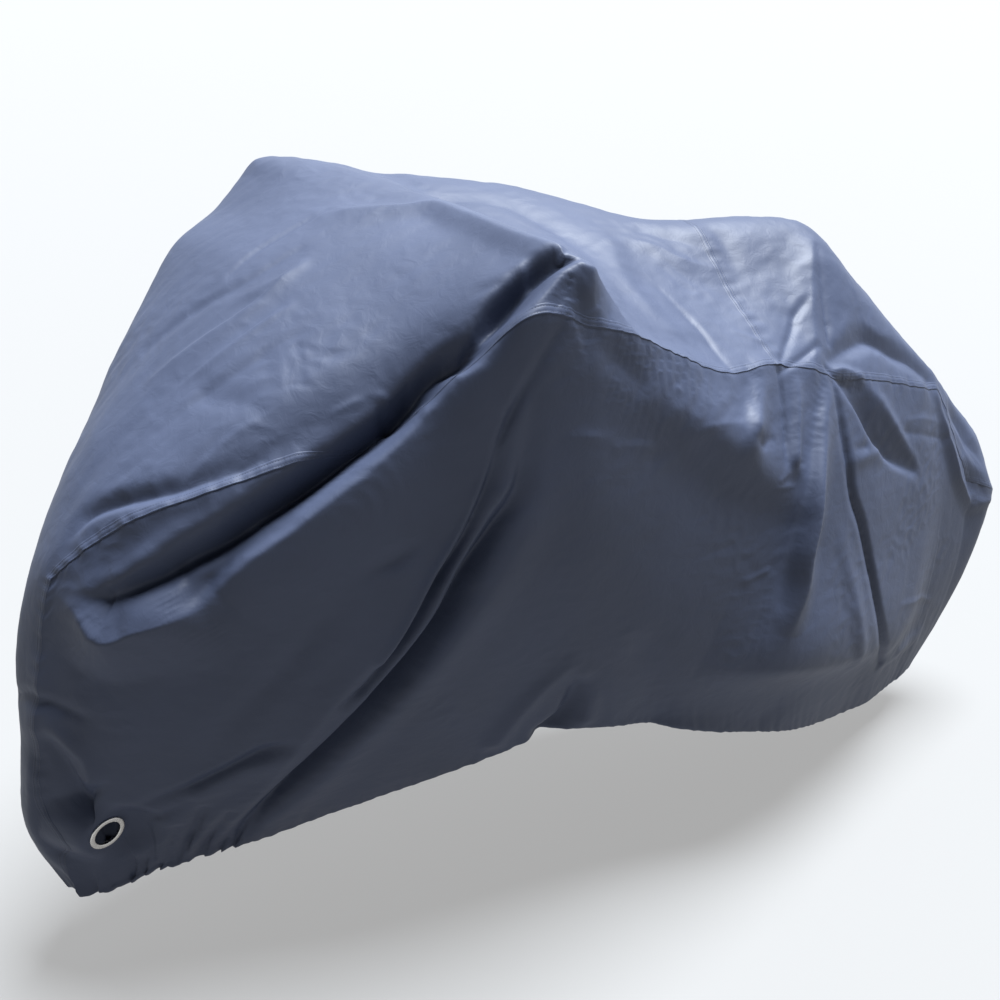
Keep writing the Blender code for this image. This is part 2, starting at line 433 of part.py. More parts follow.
def sheet_mesh(name, places, keep=None):
    """A closed sheet of cloth on a grid of places; keep says which cells of the grid are cloth."""
    rows, columns = places.shape[:2]
    if keep is None:
        keep = np.ones((rows - 1, columns - 1), bool)
    normals = grid_normals(places, keep)
    mesh = bmesh.new()
    corners = {}
    for level, offset in (("outer", SHEET / 2), ("inner", -SHEET / 2)):
        for row in range(rows):
            for column in range(columns):
                if cells_touching(keep, row, column):
                    spot = places[row, column] + normals[row, column] * offset - ORIGIN
                    corners[level, row, column] = mesh.verts.new(spot)

    def quad(level_a, a, level_b, b, level_c, c, level_d, d):
        first, second = corners[(level_a, *a)], corners[(level_b, *b)]
        third, fourth = corners[(level_c, *c)], corners[(level_d, *d)]
        mesh.faces.new((first, second, third))
        mesh.faces.new((first, third, fourth))

    for row in range(rows - 1):
        for column in range(columns - 1):
            if not keep[row, column]:
                continue
            a, b = (row, column), (row, column + 1)
            c, d = (row + 1, column + 1), (row + 1, column)
            around = ((row - 1, column, a, b), (row, column + 1, b, c),
                      (row + 1, column, c, d), (row, column - 1, d, a))
            if np.linalg.norm(places[b] - places[d]) < np.linalg.norm(places[a] - places[c]):
                a, b, c, d = b, c, d, a
            quad("outer", a, "outer", b, "outer", c, "outer", d)
            inner = [corners[("inner", *corner)] for corner in (a, b, c, d)]
            mesh.faces.new((inner[2], inner[1], inner[0]))
            mesh.faces.new((inner[3], inner[2], inner[0]))
            for near_row, near_column, start, end in around:
                inside = 0 <= near_row < rows - 1 and 0 <= near_column < columns - 1
                if not inside or not keep[near_row, near_column]:
                    quad("outer", start, "inner", start, "inner", end, "outer", end)
    bmesh.ops.recalc_face_normals(mesh, faces=mesh.faces)
    data = bpy.data.meshes.new(name)
    mesh.to_mesh(data)
    mesh.free()
    return data


def cells_touching(keep, row, column):
    """How many of the four cells round a grid point are cloth."""
    return keep[max(row - 1, 0):row + 1, max(column - 1, 0):column + 1].sum()


def grid_normals(places, keep):
    """Outward directions on a grid: the surface's own inside, the shared outward field at its edges."""
    along_rows = np.gradient(places, axis=0)
    along_columns = np.gradient(places, axis=1)
    normals = np.cross(along_rows, along_columns)
    rows, columns = places.shape[:2]
    for row in range(rows):
        for column in range(columns):
            field = outward(places[row, column])
            own = unit(normals[row, column])
            own = own if np.dot(own, field) > 0 else -own
            on_edge = cells_touching(keep, row, column) < 4
            normals[row, column] = field if on_edge else unit(own + FIELD_SHARE * field)
    return normals


def draw_in(places, sides_of_grid):
    """Draw the named edges of a grid in from the seams that they share."""
    drawn = places.copy()
    edges = {"top": (0, 1, 0), "bottom": (-1, -2, 0), "left": (0, 1, 1), "right": (-1, -2, 1)}
    for side in sides_of_grid:
        edge, inner, axis = edges[side]
        outer_line = drawn.take(edge, axis=axis)
        step = places.take(inner, axis=axis) - places.take(edge, axis=axis)
        outer_line = outer_line + SEAM_INSET * step / np.linalg.norm(step, axis=1)[:, None]
        if axis == 0:
            drawn[edge] = outer_line
        else:
            drawn[:, edge] = outer_line
    return drawn


def grid(function, first, second):
    return np.array([[drape(function(a, b)) for b in second] for a in first])


# ---------------------------------------------------------------- pieces
def cloth_material():
    material = bpy.data.materials.new("coated_cloth")
    material.use_nodes = True
    shader = material.node_tree.nodes["Principled BSDF"]
    shader.inputs["Base Color"].default_value = (0.045, 0.050, 0.075, 1)
    shader.inputs["Roughness"].default_value = 0.45
    return material


def metal_material():
    material = bpy.data.materials.new("eyelet_metal")
    material.use_nodes = True
    shader = material.node_tree.nodes["Principled BSDF"]
    shader.inputs["Base Color"].default_value = (0.60, 0.58, 0.55, 1)
    shader.inputs["Roughness"].default_value = 0.30
    shader.inputs["Metallic"].default_value = 1.0
    return material


def add_object(name, data, material):
    piece = bpy.data.objects.new(name, data)
    bpy.context.scene.collection.objects.link(piece)
    data.materials.append(material)
    return piece


def make_centre_panels(cloth):
    gusset = [-GUSSET_ROWS * part for part in reversed(height_list()[1:])]
    across = [step / ACROSS_STEPS for step in range(ACROSS_STEPS + 1)]
    crown = grid(centre_point, gusset + station_list(0, CROSS_SEAM), across)
    crown = draw_in(crown, ("bottom", "left", "right"))
    add_object("crown_panel", sheet_mesh("crown_panel", crown), cloth.copy())
    tail = grid(centre_point, station_list(CROSS_SEAM, TAIL_CORNER), across)
    tail = draw_in(tail, ("top", "bottom", "left", "right"))
    add_object("tail_panel", sheet_mesh("tail_panel", tail), cloth.copy())


def make_side(which, cloth):
    """A side panel, less the corner that the lock strip fills."""
    side = SIDES[which]
    stations = station_list(0, len(LEFT) - 1)
    down = height_list()
    whole = grid(lambda part, station: side.point(station, part), down, stations)
    places = draw_in(whole, ("top", "left", "right"))
    lock_row = next(row for row, part in enumerate(down) if part >= LOCK_TOP)
    lock_column = stations.index(float(LOCK_STATION))
    keep = np.ones((len(down) - 1, len(stations) - 1), bool)
    keep[lock_row:, :lock_column] = False
    panel = draw_from_corner(places, lock_row, lock_column)
    add_object("side_panel_" + which, sheet_mesh("side_panel_" + which, panel, keep), cloth.copy())
    return whole[lock_row:, :lock_column + 1], lock_row


def draw_from_corner(places, lock_row, lock_column):
    """Draw the panel's notch away from the lock strip that fills it."""
    drawn = places.copy()
    for column in range(lock_column + 1):
        step = places[lock_row - 1, column] - places[lock_row, column]
        drawn[lock_row, column] += SEAM_INSET * unit(step)
    for row in range(lock_row, len(places)):
        step = places[row, lock_column + 1] - places[row, lock_column]
        drawn[row, lock_column] += SEAM_INSET * unit(step)
    return drawn


def make_lock_strip(which, coarse, lock_row, cloth):
    """The front lower corner of a side panel, with finer facets and the eyelet's hole in it."""
    side = SIDES[which]
    down = finer(height_list()[lock_row:])
    stations = finer(station_list(0, LOCK_STATION))
    places = grid(lambda part, station: side.point(station, part), down, stations)
    for row in (0, -1):
        places[row] = finer(list(coarse[row]))
    for column in (0, -1):
        places[:, column] = finer(list(coarse[:, column]))
    places = draw_in(places, ("top", "left", "right"))
    strip = add_object("lock_strip_" + which, sheet_mesh("lock_strip_" + which, places), cloth.copy())
    hole = EYELET_BORE + EYELET_BARREL + EYELET_GAP
    profile = ((0.0, -EYELET_FLAT), (hole, -EYELET_FLAT), (hole, EYELET_FLAT), (0.0, EYELET_FLAT))
    cutter = add_object("cut_eyelet_" + which, turned_mesh("cut_eyelet_" + which, profile, side), cloth)
    cutter.hide_render = True
    cutter.display_type = "WIRE"
    cut = strip.modifiers.new("eyelet hole", "BOOLEAN")
    cut.operation = "DIFFERENCE"
    cut.object = cutter


def finer(values):
    """A list with STRIP_FINER steps where it had one."""
    steps = [step / STRIP_FINER for step in range(STRIP_FINER)]
    pairs = zip(values[:-1], values[1:])
    return [start + (end - start) * part for start, end in pairs for part in steps] + [values[-1]]


def turned_mesh(name, profile, side):
    """A closed solid turned about the eyelet's axis from a profile of radius and height."""
    across = unit(np.cross(side.face, (0.0, 0.0, 1.0)))
    up = np.cross(side.face, across)
    mesh = bmesh.new()
    rings = []
    for step in range(EYELET_STEPS):
        angle = 2 * math.pi * step / EYELET_STEPS
        away = across * math.cos(angle) + up * math.sin(angle)
        rings.append([mesh.verts.new(side.eyelet - ORIGIN + away * radius + side.face * height)
                      for radius, height in profile])
    for step, ring in enumerate(rings):
        other = rings[(step + 1) % EYELET_STEPS]
        for index in range(len(profile)):
            after = (index + 1) % len(profile)
            mesh.faces.new((ring[index], ring[after], other[after], other[index]))
    bmesh.ops.remove_doubles(mesh, verts=mesh.verts, dist=1e-6)
    bmesh.ops.recalc_face_normals(mesh, faces=mesh.faces)
    data = bpy.data.meshes.new(name)
    mesh.to_mesh(data)
    mesh.free()
    return data


def make_eyelet_ring(which, metal):
    """A grommet: a barrel through the cloth's hole, with a rounded flange on each face of the cloth."""
    seat = SHEET / 2 + EYELET_GAP
    face = seat + FLANGE
    barrel = EYELET_BORE + EYELET_BARREL
    soft = FLANGE * FLANGE_ROUND
    profile = ((EYELET_BORE, -face + soft), (EYELET_BORE, face - soft), (EYELET_BORE + soft, face),
               (EYELET_OUTER - soft, face), (EYELET_OUTER, face - soft), (EYELET_OUTER, seat),
               (barrel, seat), (barrel, -seat), (EYELET_OUTER, -seat), (EYELET_OUTER, -face + soft),
               (EYELET_OUTER - soft, -face), (EYELET_BORE + soft, -face))
    name = "eyelet_ring_" + which
    data = turned_mesh(name, profile, SIDES[which])
    data.shade_smooth()
    data.set_sharp_from_angle(angle=math.radians(50))
    add_object(name, data, metal.copy())


def main():
    for item in list(bpy.data.objects):
        bpy.data.objects.remove(item, do_unlink=True)
    cloth, metal = cloth_material(), metal_material()
    make_centre_panels(cloth)
    for which in ("left", "right"):
        corner, lock_row = make_side(which, cloth)
        make_lock_strip(which, corner, lock_row, cloth)
        make_eyelet_ring(which, metal)


main()
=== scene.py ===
"""Bicycle cover: the looks.

Each panel of the cover is a fine sheet on the same draped surface as its solid, with the creases,
gathers, seams and sewing that the solids leave out. Places are measured from the ground, with X along
the bicycle, -Y to its left and Z up, and ORIGIN takes them into the frame.
"""

import itertools
import math
from collections import namedtuple

import bpy
import numpy as np
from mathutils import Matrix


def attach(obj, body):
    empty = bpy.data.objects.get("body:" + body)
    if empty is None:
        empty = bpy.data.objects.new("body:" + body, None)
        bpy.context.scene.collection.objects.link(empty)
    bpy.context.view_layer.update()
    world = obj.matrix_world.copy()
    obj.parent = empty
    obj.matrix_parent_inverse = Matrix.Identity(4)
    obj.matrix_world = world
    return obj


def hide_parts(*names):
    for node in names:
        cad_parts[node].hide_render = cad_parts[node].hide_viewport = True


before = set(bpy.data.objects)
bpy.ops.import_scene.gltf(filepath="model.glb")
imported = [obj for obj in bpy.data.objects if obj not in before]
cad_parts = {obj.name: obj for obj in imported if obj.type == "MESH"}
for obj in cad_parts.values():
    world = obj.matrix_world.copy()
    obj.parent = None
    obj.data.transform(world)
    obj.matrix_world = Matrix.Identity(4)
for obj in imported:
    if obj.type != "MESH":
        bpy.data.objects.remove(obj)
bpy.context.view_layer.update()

# ---- driving sizes, in metres
MM = 0.001
TINY = 1e-12
ORIGIN = np.array((-0.262, 0.0, 1.080))    # the frame's origin, over the middle of the handlebar
GROUND = -ORIGIN[2]

EYELET_OUTER = 0.0280     # radius of the grommet's flange
EYELET_BORE = 0.0205      # radius of its bore
EYELET_HOLE = 0.0215      # the cloth is cut away within this radius
EYELET_SEAT = 0.0011      # from the middle of the cloth to the flange
FLANGE = 0.0013
EYELET_FLAT = 0.034       # the cloth is flat within this radius of the eyelet's centre
EYELET_FADE = 0.040       # and eases back into its drape over this distance
EYELET_CLEAR = 0.020      # the gathers fade in over this distance from the grommet
EYELET_STEPS = 96
ROLL_STEPS = 12           # facets over the rolled flange
ROLL_POWER = 0.6          # below 1, the roll is fuller than a half round

CROSS_SEAM = 12           # station at which the crown panel meets the tail panel
TAIL_CORNER = 20          # station at which the side seam turns across the back
LAST = 22                 # station of the centre back
GUSSET_ROWS = 4           # rows of the gusset table below the front corner

SIDE_STEPS = 430          # facets along a side panel
HEIGHT_STEPS = 222        # facets down a side panel
ACROSS_STEPS = 236        # facets across the centre panel
GUSSET_STEPS = 128        # facets up the gusset
TOWARD_SEAM = 1.12        # above 1, a side panel's facets are shorter near its seam
MIDDLE_DOWN = 0.4         # the facets are of even length along a line this far down the side panel
EVENNESS = 0.75           # how evenly the centre panel's facets share its width
SEAM_SAMPLES = 2201       # places at which lines along the seam are measured
GUSSET_SAMPLES = 401      # and down the gusset
ACROSS_SAMPLES = 161      # and across the centre panel

SPINE_FRONT = np.array((-0.50, 0.0, 0.55))     # the folds stand away from a line between
SPINE_BACK = np.array((0.60, 0.0, 0.50))       # these two points inside the cover
DOWNWARD = 0.15           # share of the downward part kept, so that the folds near the hem stand level

ROUTE_STEPS = 5           # points on a fold's route from one bend to the next
FOLD_REACH = 2.4          # a fold ends this many half widths from its route
FOLD_DEPTH = 0.06         # and reaches the cloth this far above or below its route
FAR = 1e9                 # farther than any route

# Unevenness of all the cloth, and of the drawn cloth on top: height, size of the lumps and seed
SWELLS = ((0.0016, 0.16, 1), (0.0007, 0.06, 2))
FINE_LUMPS = ((0.0003, 0.024, 3),)
FINE_STRETCH = (1, 1, 1.6)                     # the fine lumps are this much shorter in height
TOP_LUMPS = ((0.0014, 0.045, 4), (0.0007, 0.019, 5))
TOP_FROM, TOP_BLEND = 0.35, 0.3                # upward share of the direction at which the top begins
GRAIN_WAY = np.array((0.86, -0.06, 0.50))      # the wrinkles on the top are drawn out along this way,
GRAIN_DRAW = 0.86                              # which shrinks by this share as their noise is read
GRAIN_WAY /= np.linalg.norm(GRAIN_WAY)
CROWN_GRAIN = np.eye(3) - GRAIN_DRAW * np.outer(GRAIN_WAY, GRAIN_WAY)
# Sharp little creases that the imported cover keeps, in patches
CRINKLE = 0.0010
CRINKLE_SIZE, CRINKLE_SEED = 0.030, 6
PATCH_SIZE, PATCH_SEED, PATCH_SHARE = 0.13, 7, 0.35

PUCKERS = ((0.0020, 0.017), (0.0026, 0.036))   # height and length of the waves beside a seam
PUCKER_WIDTH = 0.017
SEAM_GROOVE, GROOVE_WIDTH = 0.0006, 0.004      # the side panel dips this deep at its seam

# Gathers at the hem: their height where it is slack, what the tight front adds, their length along the
# hem and how far up they reach
Gather = namedtuple("Gather", "slack front length reach")
SHORT_GATHER = Gather(0.0012, 0.0085, 0.013, 0.028)
BROAD_GATHER = Gather(0.0010, 0.0110, 0.030, 0.070)
SCALLOP = Gather(0.0012, 0.0050, 0.017, 0.030)
PLEAT_TOP, PLEAT_SLOPE = 0.55, 2.2             # the broad gathers have sharp crests
FAN, FAN_SIZE = 0.25, 0.09                     # the gathers spread sideways as they rise
FRONT_END, FRONT_FADE = -0.72, 0.16            # X at which the tight front ends, and over which it fades
GUSSET_TIGHTNESS = 0.6
HEM_RADIUS = 0.0050       # the cloth turns in round the elastic
HEM_CURL = math.pi * 1.2
HEM_TURN = 7              # rows of the turned hem

# The raised band of a felled seam: distance from the seam and height
BAND = ((-0.0006, -0.0006), (0.0000, 0.0003), (0.0019, 0.0005), (0.0031, 0.0000), (0.0043, 0.0005),
        (0.0089, 0.0005), (0.0101, 0.0000), (0.0113, 0.0004), (0.0130, 0.0002), (0.0142, -0.0006))
BAND_WAVE, BAND_WAVE_SIZE = 0.4, 0.011
STITCH_ROWS = (0.0031, 0.0101)                 # the two rows of stitches, from the seam
STITCH = 0.0026
STITCH_GAP = 0.0012
THREAD = 0.00026          # half the thread's thickness
STITCH_RISE, STITCH_SPREAD = 1.6, 1.3          # a stitch's middle, in half thicknesses

# Seeds of the puckers, the gathers and the seam bands
SEEDS = {"left": 100, "right": 200, "cross": 300, "hem": 340}
GUSSET_SEED, GATHER_SEED, SCALLOP_SEED, BAND_SEED = 20, 40, 60, 400

# The studio
FLOOR_HALF = 30.0
SUN_WAY = (0.25, 0.00, 0.97)                   # where the light comes from
SUN_SPREAD, SUN_POWER = 30.0, 19.0             # how wide it is in degrees, and how strong
WALL_WAY = (0.36, 0.93, 0.0)                   # the bright wall behind the cover
CAMERA_PLACE = (-0.898, -1.95, 0.430)
CAMERA_TURN = (67.4, 0.0, -27.7)               # in degrees
LENS, SENSOR = 54.0, 36.0


# ---- how the cover hangs
# These tables are in millimetres. A side panel's stations run from the front gusset to the centre back:
# the side seam's point, the hem's point, how far the cloth bellies out between them, and its lean in X.
LEFT = (
    (-853,-95,655, -862,-48,118, 0, -37),
    (-797,-145,718, -815,-60,125, 30, -28),
    (-740,-190,761, -763,-75,140, 45, -15),
    (-665,-225,790, -685,-85,151, 55, -5),
    (-590,-250,814, -591,-100,163, 65, 0),
    (-503,-275,841, -486,-125,192, 70, 0),
    (-416,-297,875, -382,-155,220, 75, 0),
    (-350,-340,945, -276,-200,262, 58, 0),
    (-285,-374,992, -215,-240,302, 35, 0),
    (-204,-377,980, -150,-255,313, 30, 0),
    (-89,-340,929, -20,-264,284, 30, 0),
    (69,-290,855, 150,-248,219, 40, 0),
    (212,-240,834, 300,-215,162, 60, 0),
    (345,-210,787, 415,-170,122, 60, 0),
    (425,-185,764, 500,-135,100, 60, 0),
    (520,-150,733, 570,-118,93, 50, 4),
    (624,-115,697, 620,-100,94, 40, 10),
    (688,-85,671, 662,-82,93, 30, 20),
    (742,-80,580, 695,-70,92, 18, 26),
    (785,-72,510, 722,-55,91, 12, 30),
    (803,-65,475, 744,-42,90, 10, 33),
    (890,-49,437, 762,-24,90, 5, 29),
    (940,0,411, 770,0,90, 0, 31),
)

RIGHT = (
    (-838,60,632, -857,30,118, 0, -37),
    (-785,108,700, -812,48,126, 26, -28),
    (-715,165,745, -755,66,138, 42, -15),
    (-640,220,812, -680,84,150, 50, -5),
    (-585,258,868, -598,102,160, 52, 0),
    (-530,300,928, -505,130,185, 55, 0),
    (-475,340,978, -420,165,215, 55, 0),
    (-430,372,1018, -330,205,250, 50, 0),
    (-385,385,1030, -245,235,275, 40, 0),
    (-318,375,1000, -160,250,288, 35, 0),
    (-165,342,950, -30,255,272, 35, 0),
    (40,290,888, 130,240,230, 40, 0),
    (212,240,840, 280,210,178, 50, 0),
    (345,208,792, 405,172,130, 52, 0),
    (425,184,768, 490,142,106, 50, 0),
    (520,150,736, 565,118,95, 46, 4),
    (624,116,698, 628,98,89, 38, 10),
    (688,90,668, 672,80,86, 28, 22),
    (742,82,584, 704,68,84, 18, 30),
    (785,74,512, 730,54,83, 12, 33),
    (803,67,477, 750,40,83, 10, 36),
    (890,49,437, 762,24,90, 5, 29),
    (940,0,411, 770,0,90, 0, 31),
)

# The centre panel between the seams: a point on its left shoulder, its ridge and its right shoulder.
# The gusset's rows come first, from the hem up, then one row for each station up to the tail corner.
CENTRE = (
    (-868,-30,122, -873,-10,120, -866,12,122),
    (-914,-40,240, -920,-14,240, -911,12,240),
    (-905,-48,385, -910,-16,385, -900,14,383),
    (-893,-55,520, -900,-18,520, -887,18,515),
    (-864,-62,650, -868,-20,640, -854,24,634),
    (-803,-98,740, -810,-10,742, -800,60,728),
    (-742,-140,790, -750,0,817, -737,118,796),
    (-663,-170,843, -670,0,890, -671,166,880),
    (-588,-200,884, -597,0,950, -616,207,942),
    (-504,-225,924, -512,0,1004, -555,252,999),
    (-420,-250,963, -436,0,1042, -478,292,1036),
    (-345,-285,1010, -372,0,1066, -428,322,1072),
    (-272,-332,1048, -315,0,1079, -394,336,1098),
    (-214,-366,1062, -262,0,1088, -352,326,1098),
    (-102,-205,990, -135,0,1052, -200,255,1072),
    (60,-150,938, 50,0,1018, 10,150,1036),
    (207,-110,924, 205,0,1005, 206,118,935),
    (350,-92,935, 345,0,998, 350,92,938),
    (420,-80,942, 430,0,980, 420,80,944),
    (499,-82,872, 507,0,903, 499,74,878),
    (616,-76,764, 620,0,786, 616,66,772),
    (705,-62,690, 712,0,700, 705,58,692),
    (779,-40,616, 791,0,624, 779,42,618),
    (850,-38,531, 871,0,540, 850,40,532),
    (890,-49,437, 940,0,411, 890,49,437),
)

